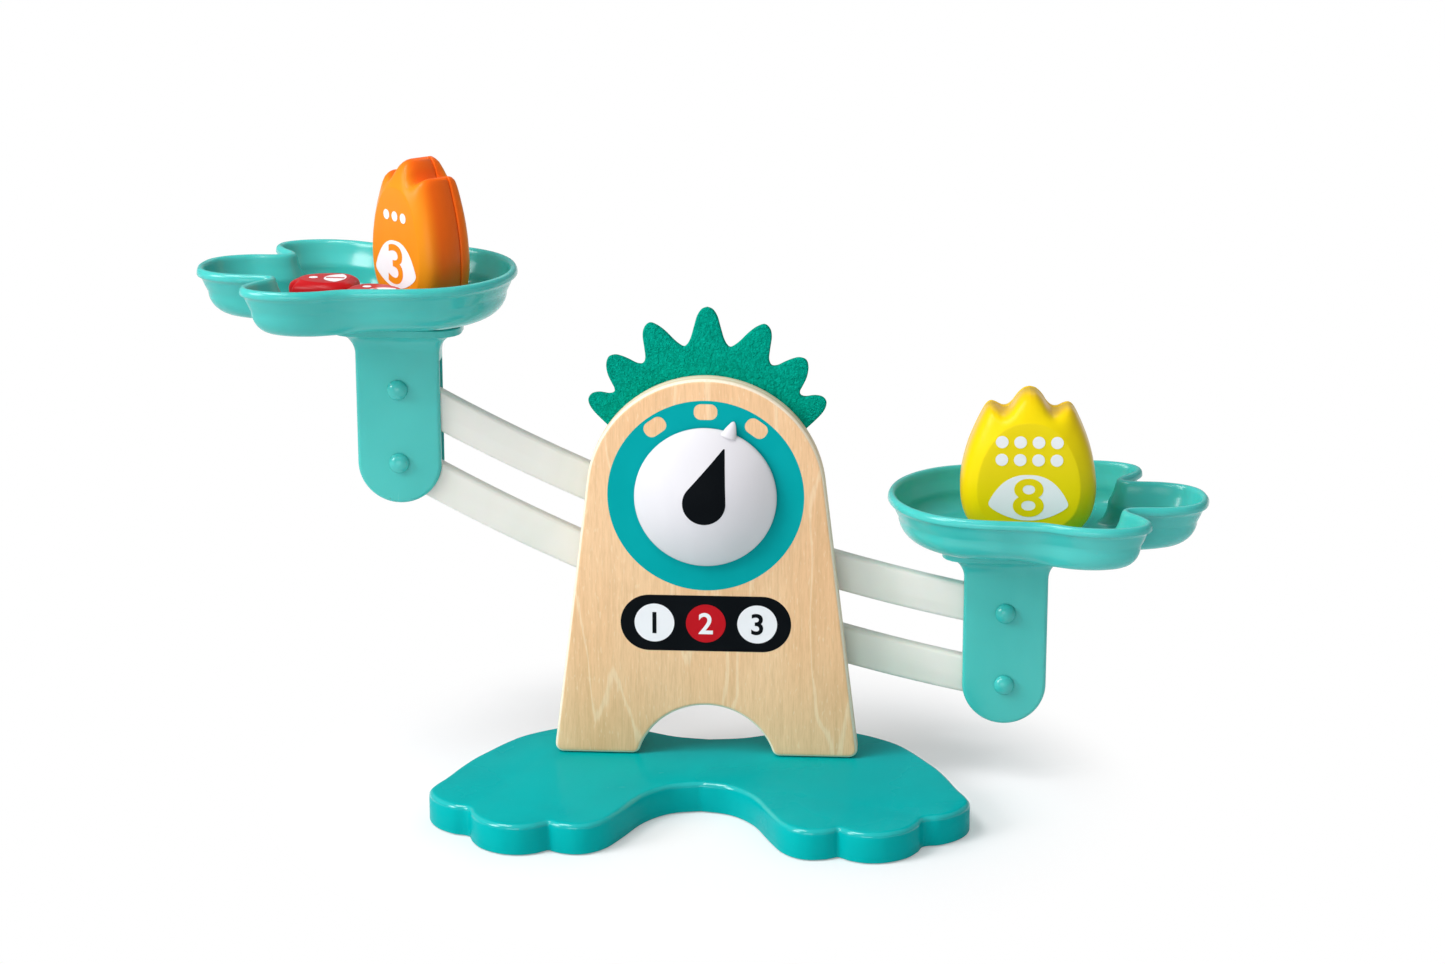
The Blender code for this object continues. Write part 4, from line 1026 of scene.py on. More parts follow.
# ------------------------------------------------------------------ dial
@dataclass
class Dial:
    """The domed pointer, and the ring, windows and number strip printed round it."""

    radius: float = 0.0291
    height: float = 0.0115
    rim: float = 0.0018
    wall: float = 0.0022
    stand_off: float = 0.0008
    cap_inset: float = 0.0004           # the cap ends so far inside the rim
    cap_drop: float = 0.0005            # and the rim begins so far behind it
    edge_round: float = 0.0003
    shaft_gap: float = 0.0003
    boss: float = 0.0065
    shaft: float = 0.0033
    spur_tip: float = 0.0340
    spur_width: float = 0.0068
    spur_height: float = 0.0040
    spur_lift: float = 0.0001
    spur: Sequence[Point] = ((0.50, 0.0), (0.43, 0.22), (0.35, 0.45), (0.26, 0.66),
                             (0.17, 0.85), (0.10, 0.95), (0.02, 1.0))
    needle_hub: float = 0.0088
    needle_tip: float = 0.0236
    needle_blunt: Point = (0.0003, 0.0004)
    needle_cell: float = 0.0016
    needle_lift: float = 0.00002
    ring: float = 0.0402
    ring_under: float = 0.006
    window_radius: float = 0.0355
    window_turn: float = 35.5
    window: tuple[float, float, float] = (0.0096, 0.0066, 0.0029)
    strip: Point = (0.0704, 0.0240)
    strip_corner: float = 0.01198       # just under half the height: no edge of length 0
    strip_height: float = 0.058
    disc: float = 0.0082
    disc_spacing: float = 0.0212
    digit: float = 1.12
    stroke: float = 0.00022
    ink: float = 0.00004
    ink_lift: float = 0.00001

    @property
    def front(self) -> float:
        """Where the cap of the dome begins."""
        return -self.stand_off - self.rim

    def sphere(self) -> tuple[float, float]:
        """Return the dome's radius of curvature and its centre's place along Y."""
        rise = self.height - self.rim
        radius = (self.radius ** 2 + rise ** 2) / (2 * rise)
        return radius, self.front - rise + radius

    def build_dome(self) -> None:
        """Make the shell with its boss and spur."""
        radius, centre = self.sphere()
        inside, hollow, back = radius - self.wall, self.radius - self.wall, -self.stand_off
        half = math.asin((self.radius - self.cap_inset) / radius)
        start, end = math.asin(self.boss / inside), math.asin(hollow / inside)
        seat = back - (self.height - 2 * self.wall) - self.shaft_gap
        profile = [(radius * math.sin(turn), centre - radius * math.cos(turn))
                   for turn in turns(half, 26)]
        profile += [(self.radius, self.front + self.cap_drop),
                    (self.radius, back - self.edge_round),
                    (self.radius - self.edge_round, back), (hollow, back)]
        profile += [(inside * math.sin(end + turn), centre - inside * math.cos(end + turn))
                    for turn in turns(start - end, 8)]
        profile += [(self.boss, back), (self.shaft, back), (self.shaft, seat), (0.0, seat)]
        dome = Mould.turned(profile, steps=96)
        root = self.radius - self.wall * 0.7
        rings = []
        for share, out in curve(self.spur, 4):
            wide, deep = share * self.spur_width, share * self.spur_height
            low, up = back - self.spur_lift - deep, root + out * (self.spur_tip - root)
            rings.append([(wide * math.cos(turn), low + deep * math.sin(turn), up)
                          for turn in turns(2 * math.pi, 28)[:-1]])
        dome.join(Mould.loft(rings)).transform(LINKS.tipped(0))
        dome.piece("dial_dome", Look.WHITE, "upper_beam", "dome_pointer", slot="white_plastic",
                   crease=36)

    def build_needle(self) -> None:
        """Lay the black needle mark on the dome, pointing at the spur."""
        radius, centre = self.sphere()
        hub, tip = self.needle_hub, self.needle_tip
        lean = math.acos(hub / tip)
        outline = arc((0, 0), hub, QUARTER + lean, 2.5 * math.pi - lean, 60)
        across, short = self.needle_blunt
        outline += [(across, tip - short), (-across, tip - short)]
        mark = Mould.slab(anticlockwise(outline), 0.0, self.ink)
        bm = mark.bm
        bmesh.ops.triangulate(bm, faces=bm.faces)
        for _ in range(3):
            long = [e for e in bm.edges if e.calc_length() > self.needle_cell]
            bmesh.ops.subdivide_edges(bm, edges=long, cuts=1)
            bmesh.ops.triangulate(bm, faces=[f for f in bm.faces if len(f.verts) > 3])
        for vert in bm.verts:
            out = math.hypot(vert.co.x, vert.co.z)
            surface = centre - math.sqrt(radius ** 2 - out ** 2)
            vert.co.y = surface - self.needle_lift - (
                self.ink if vert.co.y < self.ink / 2 else 0.0)
        bmesh.ops.recalc_face_normals(bm, faces=bm.faces)
        mark.transform(LINKS.tipped(0))
        mark.piece("dial_needle", Look.BLACK_INK, "upper_beam", crease=60)

    def layer(self, count: int) -> tuple[float, float]:
        """Return the depths of a film laid on top of earlier ones."""
        low = -self.ink_lift - count * 2 * self.ink
        return low - self.ink, low

    def build_prints(self) -> None:
        """Print the ring with its windows, and the strip with its numbered discs."""
        pivot, ground = LINKS.pivot.z, self.layer(0)
        windows = []
        for degrees in (-self.window_turn, 0.0, self.window_turn):
            turn = math.radians(degrees)
            place = (self.window_radius * math.sin(turn),
                     pivot + self.window_radius * math.cos(turn))
            windows.append(placed(rounded_bar(*self.window), place, -turn))
        inner = circle(self.radius - self.ring_under, 72, (0, pivot))
        ring = Mould.slab(circle(self.ring, 120, (0, pivot)), *ground, holes=[inner, *windows])
        ring.piece("dial_ring", Look.TEAL_INK, "frame", slot="teal_paint")
        middle = LINKS.base_top + self.strip_height
        bar = rounded_bar(*self.strip, self.strip_corner, 16)
        strip = Mould.slab(anticlockwise(placed(bar, (0, middle))), *ground)
        strip.piece("number_strip", Look.BLACK_INK, "frame")
        discs = (("1", Look.WHITE_INK, Look.BLACK_INK), ("2", Look.RED_INK, Look.WHITE_INK),
                 ("3", Look.WHITE_INK, Look.BLACK_INK))
        for step, (text, under, ink) in enumerate(discs, -1):
            x = step * self.disc_spacing
            disc = Mould.slab(circle(self.disc, 56, (x, middle)), *self.layer(1))
            disc.piece(f"strip_disc_{text}", under, "frame")
            numeral = figure(text, self.disc * self.digit, self.stroke, self.ink)
            numeral.transform(Matrix.Translation((x, self.layer(2)[1], middle)))
            numeral.piece(f"strip_numeral_{text}", ink, "frame")

    def build(self) -> None:
        """Make the whole dial."""
        self.build_dome()
        self.build_needle()
        self.build_prints()


# ------------------------------------------------------------------ beams
@dataclass
class Beams:
    """The two curved bars of the parallel linkage."""

    depth: float = 0.0156
    thickness: float = 0.0064
    edge_round: float = 0.0016
    sag: float = 0.0168
    upper_hub: float = 0.0105
    lower_hub: float = 0.0062
    hub_gap: float = 0.0014
    shaft: float = 0.0033
    lower_pivot: float = 0.0023
    pin: float = 0.0023
    open_pin: float = 0.0026
    steps: int = 60

    @property
    def faces(self) -> tuple[float, float]:
        """The bars' near and far faces."""
        return LINKS.plane - self.thickness / 2, LINKS.plane + self.thickness / 2

    def outline(self) -> Outline:
        """Return the curved bar with round ends."""
        half = self.depth / 2
        slope = 2 * (self.sag - LINKS.pin_drop) / LINKS.arm
        top: Outline = []
        under: Outline = []
        for i in range(self.steps + 1):
            x = LINKS.arm * (2 * i / self.steps - 1)
            z = -self.sag + (self.sag - LINKS.pin_drop) * (x / LINKS.arm) ** 2
            lean = math.atan(slope * x / LINKS.arm)
            across, up = math.sin(lean) * half, math.cos(lean) * half
            top.append((x - across, z + up))
            under.append((x + across, z - up))
        lean = math.atan(slope)
        right = arc((LINKS.arm, -LINKS.pin_drop), half, lean - QUARTER, lean + QUARTER, 20)
        left = [(-x, z) for x, z in reversed(right)]
        return under[1:-1] + right + list(reversed(top))[1:-1] + left

    def cutter(self, outline: Outline) -> Mould:
        """Return a slab that reaches past both faces of a bar."""
        front, back = self.faces
        return Mould.slab(outline, front - PAST, back + PAST)

    def relief(self) -> Mould:
        """Return what the lower hub sweeps past the upper bar."""
        radius = self.lower_hub + self.hub_gap
        swing = []
        for i in range(25):
            turn = LINKS.tilt * (i / 12 - 1)
            swing.append((-LINKS.spacing * math.sin(turn), -LINKS.spacing * math.cos(turn)))
        swing.sort()
        left, right = swing[0], swing[-1]
        low = left[1] - radius
        outline = ([(left[0] - radius, low)] + arc(left, radius, math.pi, QUARTER, 10)
                   + [(x, z + radius) for x, z in swing[1:-1]]
                   + arc(right, radius, QUARTER, 0, 10) + [(right[0] + radius, low)])
        return self.cutter(anticlockwise(outline))

    def bar(self, hub: float, hole: float, pin: float) -> Mould:
        """Return one bar, level, with its pivot at the origin.

        Args:
            hub: the hub's radius.
            hole: the pivot bore's radius.
            pin: the radius of the bores for the hangers' pins.

        Returns:
            The bar with its hub and bores.
        """
        bar = Mould.slab(self.outline(), *self.faces).soften(self.edge_round, 4)
        neck = [(-hub, -self.sag), (hub, -self.sag)] + arc((0, 0), hub, 0, math.pi, 32)
        bar.join(Mould.slab(anticlockwise(neck), *self.faces))
        for radius, x, z in ((hole, 0.0, 0.0), (pin, -LINKS.arm, -LINKS.pin_drop),
                             (pin, LINKS.arm, -LINKS.pin_drop)):
            bar.cut(self.cutter(circle(radius, 40, (x, z))))
        return bar

    def build(self) -> None:
        """Make and dress both bars."""
        upper = self.bar(self.upper_hub, self.shaft, self.pin).cut(self.relief())
        upper.transform(LINKS.tipped(0))
        upper.piece("upper_bar", Look.IVORY, "upper_beam", "upper_beam", slot="ivory_plastic")
        lower = self.bar(self.lower_hub, self.lower_pivot, self.open_pin)
        lower.transform(LINKS.tipped(LINKS.spacing))
        lower.piece("lower_bar", Look.IVORY, "lower_beam", "lower_beam", slot="ivory_plastic")


# ------------------------------------------------------------------ hangers and pans
@dataclass
class Carrier:
    """One hanger with its pins, and the clover pan on top of it."""

    side: int
    width: float = 0.0346
    wall: float = 0.0020
    side_gap: float = 0.0006
    beam: float = 0.0064
    channel_top: float = 0.012
    neck: float = 0.0148
    collar_base: float = 0.0238
    collar_top: float = 0.0268
    collar: Point = (0.0530, 0.0270)
    collar_corner: float = 0.0100
    collar_round: float = 0.0004
    plug_inset: float = 0.0024
    gap: float = 0.0003
    pin: float = 0.0020
    pin_head: float = 0.0042
    pin_height: float = 0.0030
    pin_edge: float = 0.0003
    reach: float = 0.082
    floor_low: float = 0.0305
    pan_height: float = 0.0200
    floor_wall: float = 0.0020
    pan_wall: float = 0.0020
    floor_round: float = 0.0080
    foot_inset: float = 0.0064
    bead: float = 0.0036
    bead_step: float = 0.0011
    bead_foot: Sequence[Point] = ((0.0014, -0.0004), (0.0009, -0.0001), (0.0003, 0.0002),
                                  (0.0, 0.0007))
    bead_squeeze: float = 0.94
    lip_gap: float = 0.0004
    lip_drop: float = 0.0012
    skirt_ease: Point = (0.0006, 0.0004)
    skirt_overlap: float = 0.0010
    bow: float = 0.05
    edge_round: float = 0.0016
    clover: Sequence[tuple[float, float, float]] = (    # degrees; rim and floor by the reach
        (0.0, 1.000, 0.800), (7.0, 0.982, 0.775), (12.5, 0.925, 0.675), (17.5, 0.820, 0.565),
        (21.0, 0.708, 0.515), (24.5, 0.654, 0.497), (27.5, 0.680, 0.505),
        (30.5, 0.765, 0.552), (34.0, 0.836, 0.622), (38.5, 0.866, 0.682),
        (43.5, 0.858, 0.690), (50.0, 0.818, 0.655), (57.0, 0.755, 0.592),
        (64.0, 0.677, 0.512), (71.5, 0.594, 0.430), (80.0, 0.552, 0.378),
        (92.0, 0.538, 0.358), (108.0, 0.549, 0.365), (128.0, 0.579, 0.395),
        (152.0, 0.596, 0.410), (180.0, 0.600, 0.413))

    @property
    def place(self) -> Vector:
        """Where the hanger's upper pin is."""
        return LINKS.hanger(self.side)

    @property
    def word(self) -> str:
        """Which side it is on."""
        return "left" if self.side < 0 else "right"

    @property
    def body(self) -> str:
        """The body it rides on."""
        return f"{self.word}_hanger"

    @property
    def depth(self) -> float:
        """The hanger's whole depth."""
        return self.beam + 2 * (self.side_gap + self.wall)

    @property
    def faces(self) -> tuple[float, float]:
        """The hanger's near and far faces."""
        return LINKS.plane - self.depth / 2, LINKS.plane + self.depth / 2

    @property
    def floor_top(self) -> float:
        """The pan floor's upper face, above the pin."""
        return self.floor_low + self.floor_wall

    def plug(self, gap: float = 0.0) -> tuple[float, float, float]:
        """Return the length, depth and corner of the plug, or of its socket with a gap."""
        inner = 2 * (self.wall + self.plug_inset - gap)
        return self.collar[0] - inner, self.collar[1] - inner, self.collar_corner - inner / 2

    def finish(self, mould: Mould, name: str, node: str, crease: float = 32.0) -> None:
        """Mirror a mesh for its side, bring it to its place and make it a piece.

        Args:
            mould: the mesh, round the upper pin of the right hanger.
            name: the piece's name, without its side.
            node: the CAD node that it stands for, without its side.
            crease: the angle in degrees from which an edge stays sharp.
        """
        mould.flipped(self.side).transform(Matrix.Translation(self.place))
        mould.piece(f"{self.word}_{name}", Look.TEAL, self.body, f"{self.word}_{node}",
                    slot="teal_plastic", crease=crease)

    def bar_ring(self, length: float, depth: float, corner: float, z: float) -> list[tuple]:
        """Return one rounded-rectangle ring round the hanger's axis."""
        return [(x, LINKS.plane + y, z) for x, y in rounded_bar(length, depth, corner)]

    def draw_up(self, body: Mould, rings: Sequence[tuple[float, float, float, float]]) -> None:
        """Draw the hanger's top face up through rounded-rectangle sections.

        Args:
            body: the hanger so far, whose highest face is drawn up.
            rings: length, depth, corner radius and height of each section.
        """
        half, deep, corner = self.width / 2, self.depth / 2, self.edge_round
        top = max(v.co.z for v in body.bm.verts)
        face = next(f for f in body.bm.faces if all(v.co.z > top - 1e-6 for v in f.verts))
        ways = []
        for vert in face.verts:
            x, y = vert.co.x, vert.co.y - LINKS.plane
            ways.append((math.copysign(1, x), math.copysign(1, y),
                         max(0.0, abs(x) - half + corner) / corner,
                         max(0.0, abs(y) - deep + corner) / corner))
        for length, depth, radius, height in rings:
            face = bmesh.ops.extrude_discrete_faces(body.bm, faces=[face])["faces"][0]
            for vert, (sx, sy, cx, cy) in zip(face.verts, ways):
                vert.co = (sx * (length / 2 - radius + radius * cx),
                           LINKS.plane + sy * (depth / 2 - radius + radius * cy), height)
        body.outward()

    def build_hanger(self) -> None:
        """Make the channel with its flared collar and plug."""
        half = self.width / 2
        front, back = self.faces
        low = (0.0, -LINKS.spacing)
        edge = arc(low, half, -math.pi, 0, 48) + [(half, self.neck), (-half, self.neck)]
        body = Mould.slab(anticlockwise(edge), front, back)
        body.soften(self.edge_round, 5,
                    chosen=lambda a, b: min(a.z, b.z) < self.neck - 1e-6)
        start = (self.width, self.depth, self.edge_round, self.neck)
        end = (*self.collar, self.collar_corner, self.collar_base)
        sections = []
        for turn in turns(QUARTER, 14)[1:]:
            out, up = 1 - math.cos(turn), math.sin(turn)
            sections.append(tuple(a + share * (b - a)
                                  for a, b, share in zip(start, end, (out, out, out, up))))
        rim = self.collar_round
        sections.append((*self.collar, self.collar_corner, self.collar_top - rim))
        sections.append((self.collar[0] - 2 * rim, self.collar[1] - 2 * rim,
                         self.collar_corner - rim, self.collar_top))
        sections += [(*self.plug(), self.collar_top), (*self.plug(), self.floor_low - self.gap)]
        self.draw_up(body, sections)
        reach, below, past = half - self.wall, low[1] - half - PAST, -half - PAST
        slot = arc(low, reach, 0, -QUARTER, 20) + [
            (0.0, below), (past, below), (past, self.channel_top), (reach, self.channel_top)]
        body.cut(Mould.slab(anticlockwise(slot), front + self.wall, back - self.wall))
        for z in (0.0, -LINKS.spacing):
            bore = circle(self.pin + self.gap, 32, (0, z))
            body.cut(Mould.slab(bore, front - PAST, back + PAST))
        self.finish(body, "channel", "hanger", crease=38)

    def build_pins(self) -> None:
        """Make the domed pins and the caps on their tails."""
        front, back = self.faces
        tail, edge = back + self.pin_height / 2, self.pin_edge
        kinds = (("pin", front - self.gap, -1, self.pin, tail),
                 ("cap", back + self.gap, 1, self.pin + self.gap, tail + self.gap))
        for level, z in (("upper", 0.0), ("lower", -LINKS.spacing)):
            for kind, low, way, bore, end in kinds:
                profile = [(0.0, end), (bore, end), (bore, low), (self.pin_head, low),
                           (self.pin_head, low + way * edge)]
                profile += [(self.pin_head * math.cos(turn),
                             low + way * (edge + (self.pin_height - edge) * math.sin(turn)))
                            for turn in turns(QUARTER, 10)[1:-1]]
                profile.append((0.0, low + way * self.pin_height))
                self.finish(Mould.turned(profile, z, 40), f"{level}_{kind}_dome",
                            f"{level}_{kind}")

    def clover_edge(self, column: int) -> Outline:
        """Return the rim, or the flat floor's edge, long lobe towards +X."""
        half: Outline = []
        for row in curve(self.clover, 6):
            turn = math.radians(row[0])
            half.append((self.reach * row[column] * math.cos(turn),
                         self.reach * row[column] * math.sin(turn)))
        return anticlockwise(half + [(x, -y) for x, y in reversed(half[1:-1])])

    def leaning(self, low: Outline, start: float, high: Outline,
                end: float) -> list[tuple[Outline, float]]:
        """Return the sections of a slightly bowed wall between two outlines.

        Args:
            low: the outline that it starts from.
            start: that outline's height.
            high: the outline that it reaches.
            end: that outline's height.

        Returns:
            The sections after the first outline, up to the last one.
        """
        bow = self.bow if end > start else -self.bow
        sections = []
        for i in range(1, 7):
            share = i / 6
            bent = share + bow * math.sin(math.pi * share)
            sections.append((between(low, high, bent), start + (end - start) * share))
        return sections

    def rolled(self) -> list[Point]:
        """Return the rolled rim's section: in from its edge, up from the wall's top."""
        step, top = self.bead_step, self.bead
        over = [(top / 2 * (1 - math.cos(turn)) * self.bead_squeeze,
                 step + (top - step) * math.sin(turn)) for turn in turns(math.pi, 9)[1:-1]]
        return [*self.bead_foot, *over, (top - 0.0001, step)]

    def build_pan(self) -> None:
        """Make the pan: floor, leaning walls, rolled rim and skirt."""
        rim, flat = self.clover_edge(1), self.clover_edge(2)
        inside = inset(rim, self.foot_inset)
        outside = inset(rim, self.foot_inset - self.pan_wall)
        lip = self.floor_low + self.pan_height - self.bead
        outer = self.floor_round + self.pan_wall
        levels = [(between(flat, outside, math.sin(turn)),
                   self.floor_low + outer * (1 - math.cos(turn))) for turn in turns(QUARTER, 9)]
        top = inset(rim, self.bead - self.pan_wall + self.lip_gap)
        levels += self.leaning(outside, self.floor_low + outer, top, lip - self.lip_drop)
        levels += [(inset(rim, distance), lip + height) for distance, height in self.rolled()]
        levels += self.leaning(inset(rim, self.bead), lip, inside,
                               self.floor_top + self.floor_round)
        levels += [(between(inside, flat, 1 - math.cos(turn)),
                    self.floor_top + self.floor_round * (1 - math.sin(turn)))
                   for turn in turns(QUARTER, 9)[1:]]
        pan = Mould.loft([[(x, LINKS.plane + y, z) for x, y in outline]
                          for outline, z in levels])
        low, corner = self.collar_top + self.gap, self.collar_corner
        length, depth = self.collar
        less, up = self.skirt_ease
        pan.join(Mould.loft([
            self.bar_ring(length - less, depth - less, corner, low),
            self.bar_ring(length, depth, corner, low + up),
            self.bar_ring(length, depth, corner, self.floor_low + self.skirt_overlap)]))
        socket = self.plug(self.gap)
        pan.cut(Mould.loft([self.bar_ring(*socket, self.collar_top - PAST),
                            self.bar_ring(*socket, self.floor_low)]))
        self.finish(pan, "clover", "pan", crease=45)

    def build(self) -> None:
        """Make the whole carrier."""
        self.build_hanger()
        self.build_pins()
        self.build_pan()


# ------------------------------------------------------------------ weights
@dataclass
class Weight:
    """A numbered weight: an egg with a three-point crown, made of two shells."""

    name: str
    value: int
    width: float
    height: float
    thickness: float
    side: int
    out: float
    back: float
    turn: float
    look: Look
    slot: str
    lying: bool = False
    wall: float = 0.0018
    lip: float = 0.0004
    back_share: float = 0.30
    middle_share: float = 0.45
    floor_share: float = 0.79
    crown_start: float = 0.80
    crown_power: float = 1.3
    gap: float = 0.0003
    ink: float = 0.00005
    ink_lift: float = 0.00006
    digit_lift: float = 0.00003
    field_width: float = 0.585
    field_height: float = 0.315
    digit: float = 0.84
    digit_width: float = 1.22
    stroke: float = 0.006
    dot: float = 0.046
    dot_pitch: float = 2.9
    dot_height: float = 0.635
    dot_rows: Sequence[int] = ()
    half: Sequence[Point] = (
        (0.000, 1.000), (0.045, 0.988), (0.090, 0.948), (0.128, 0.895), (0.165, 0.864),
        (0.205, 0.866), (0.250, 0.889), (0.288, 0.896), (0.322, 0.872), (0.358, 0.812),
        (0.400, 0.728), (0.448, 0.612), (0.486, 0.470), (0.499, 0.330), (0.480, 0.205),
        (0.432, 0.110), (0.350, 0.035), (0.240, 0.000), (0.000, 0.000))
    smooth_half: Sequence[Point] = (
        (0.000, 0.945), (0.052, 0.943), (0.103, 0.936), (0.148, 0.925), (0.188, 0.910),
        (0.225, 0.891), (0.260, 0.868), (0.292, 0.841), (0.322, 0.809), (0.354, 0.768),
        (0.400, 0.700), (0.448, 0.600), (0.486, 0.470), (0.499, 0.330), (0.480, 0.205),
        (0.432, 0.110), (0.350, 0.035), (0.240, 0.000), (0.000, 0.000))
    field_half: Sequence[Point] = (
        (0.000, 0.500), (0.110, 0.487), (0.220, 0.425), (0.325, 0.305), (0.415, 0.130),
        (0.478, -0.050), (0.496, -0.150), (0.462, -0.235), (0.370, -0.335), (0.250, -0.425),
        (0.120, -0.485), (0.000, -0.500))
    rounding: Sequence[Point] = (       # how wide, and how far down the rounding
        (0.30, 0.0), (0.60, 0.001), (0.740, 0.004), (0.752, 0.008), (0.764, 0.020),
        (0.778, 0.040), (0.815, 0.100), (0.855, 0.170), (0.895, 0.255), (0.935, 0.370),
        (0.965, 0.505), (0.985, 0.68), (0.996, 0.85), (1.0, 1.0))

    def outline(self, half: Sequence[Point]) -> Outline:
        """Return a whole outline from a table of shares of the width and the height."""
        edge = curve(scaled(half, self.width, self.height), 6)
        return anticlockwise(mirrored([(max(0.0, x), max(0.0, z)) for x, z in edge]))

    def matrix(self) -> Matrix:
        """Return where the weight stands or lies in its pan."""
        carrier = Carrier(self.side)
        place = carrier.place + Vector((self.out, LINKS.plane + self.back,
                                        carrier.floor_top + self.gap))
        turn = Matrix.Rotation(self.turn, 4, "Z")
        if not self.lying:
            return Matrix.Translation(place) @ turn
        half = self.height / 2
        place += Vector((half * math.sin(self.turn), -half * math.cos(self.turn),
                         self.thickness / 2))
        return Matrix.Translation(place) @ turn @ Matrix.Rotation(-QUARTER, 4, "X")

    def finish(self, mould: Mould, name: str, look: Look, *nodes: str, slot: str = "",
               crease: float = 32.0) -> None:
        """Bring a mesh to the weight's place and make it a piece.

        Args:
            mould: the mesh, upright at the origin.
            name: the piece's name, without the weight's.
            look: its finish.
            nodes: the CAD nodes that it stands for, without the weight's name.
            slot: the record's material slot.
            crease: the angle in degrees from which an edge stays sharp.
        """
        mould.transform(self.matrix()).piece(
            f"{self.name}_{name}", look, self.name, *(f"{self.name}_{node}" for node in nodes),
            slot=slot, crease=crease)

    def ring(self, outline: Outline, share: float, y: float) -> list[tuple]:
        """Return the outline drawn in towards its middle."""
        middle = self.height * self.middle_share
        return [(x * share, y, middle + (z - middle) * share) for x, z in outline]

    def shell(self, face: float, edge: float, depth: float, way: int) -> Mould:
        """Return one hollow shell.

        Args:
            face: its flat face along Y.
            edge: its open edge along Y.
            depth: how deep its rounding is.
            way: 1 for the front shell, -1 for the back one.

        Returns:
            The closed mesh of its wall.
        """
        outline, smooth = self.outline(self.half), self.outline(self.smooth_half)
        rings = []
        for share, down in self.rounding:
            crown = max(0.0, (share - self.crown_start) / (1 - self.crown_start))
            crown **= self.crown_power
            rings.append(self.ring(between(smooth, outline, crown), share,
                                   face + way * depth * down))
        inner = 1 - 2 * self.wall / self.width
        for share, y in ((1.0, edge - way * self.lip), (1.0 - 2 * self.lip / self.width, edge),
                         (inner, edge), (inner, face + way * depth),
                         (inner * self.floor_share, face + way * self.wall)):
            rings.append(self.ring(outline, share, y))
        shell = Mould.loft(rings)
        # side share for the painted shade of the sides: 0 on the flat face, 1 once the rounding
        # is fully down
        side = shell.bm.verts.layers.float.new(SIDE_SHARE)
        for vert in shell.bm.verts:
            vert[side] = min(1.0, way * (vert.co.y - face) / depth)
        return shell

    def build_prints(self) -> None:
        """Lay the white field, the numeral and the counting dots on the front."""
        near = -self.thickness / 2 - self.ink_lift
        middle = tall = self.height * self.field_height
        edge = curve(scaled(self.field_half, self.width * self.field_width, tall, middle), 6)
        self.finish(Mould.slab(anticlockwise(mirrored(edge)), near - self.ink, near), "field",
                    Look.WHITE_INK)
        numeral = figure(str(self.value), tall * self.digit, self.width * self.stroke, self.ink)
        numeral.transform(Matrix.Translation((0, near - self.ink - self.digit_lift, middle))
                          @ Matrix.Diagonal((self.digit_width, 1.0, 1.0, 1.0)))
        self.finish(numeral, "numeral", self.look, slot=self.slot)
        radius = self.width * self.dot
        pitch = radius * self.dot_pitch
        top = self.height * self.dot_height + (len(self.dot_rows) - 1) * pitch / 2
        for row, count in enumerate(self.dot_rows):
            for i in range(count):
                at = ((i - (count - 1) / 2) * pitch, top - row * pitch)
                self.finish(Mould.slab(circle(radius, 32, at), near - self.ink, near),
                            f"dot_{row + 1}{i + 1}", Look.WHITE_INK)

    def build(self) -> None:
        """Make both shells and the prints."""
        front, back = -self.thickness / 2, self.thickness / 2
        seam = back - self.back_share * self.thickness
        for name, node, face, edge, depth, way in (
                ("face", "front", front, seam - self.gap / 2, 0.36, 1),
                ("rear", "back", back, seam + self.gap / 2, 0.26, -1)):
            self.finish(self.shell(face, edge, depth * self.thickness, way), name, self.look,
                        node, slot=self.slot, crease=50)
        self.build_prints()


# ------------------------------------------------------------------ kept nodes
@dataclass
class Hardware:
    """CAD nodes whose shape stays, dressed again."""

    looks: Sequence[tuple[str, Look]] = (
        ("crest_spacer", Look.BIRCH_BLOCK), ("leg_spacer", Look.BIRCH_BLOCK),
        ("panel_screw", Look.STEEL), ("pivot_bush", Look.NYLON),
        ("lower_pivot_washer", Look.NYLON), ("lower_pivot_pin", Look.STEEL),
        ("stop_pin", Look.STEEL), ("pivot_shaft", Look.STEEL), ("weight_", Look.STEEL),
        ("pivot_cap", Look.WHITE))

    def build(self) -> None:
        """Give each shown node its finish."""
        for name, node in frame["nodes"].items():
            for start, look in self.looks:
                if name.startswith(start) and (start != "weight_" or name.endswith("slug")):
                    for slot in node.material_slots:
                        slot.material = look.material()
                    LOG.info("%s: %s", name, look.name.lower())


# ------------------------------------------------------------------ studio
def aimed(name: str, data: bpy.types.ID, place: Vector, target: Vector) -> bpy.types.Object:
    """Put a lamp or a camera at a place and point it at a target."""
    thing = linked(name, data)
    thing.location = place
    thing.rotation_euler = (target - place).to_track_quat("-Z", "Y").to_euler()
    return thing


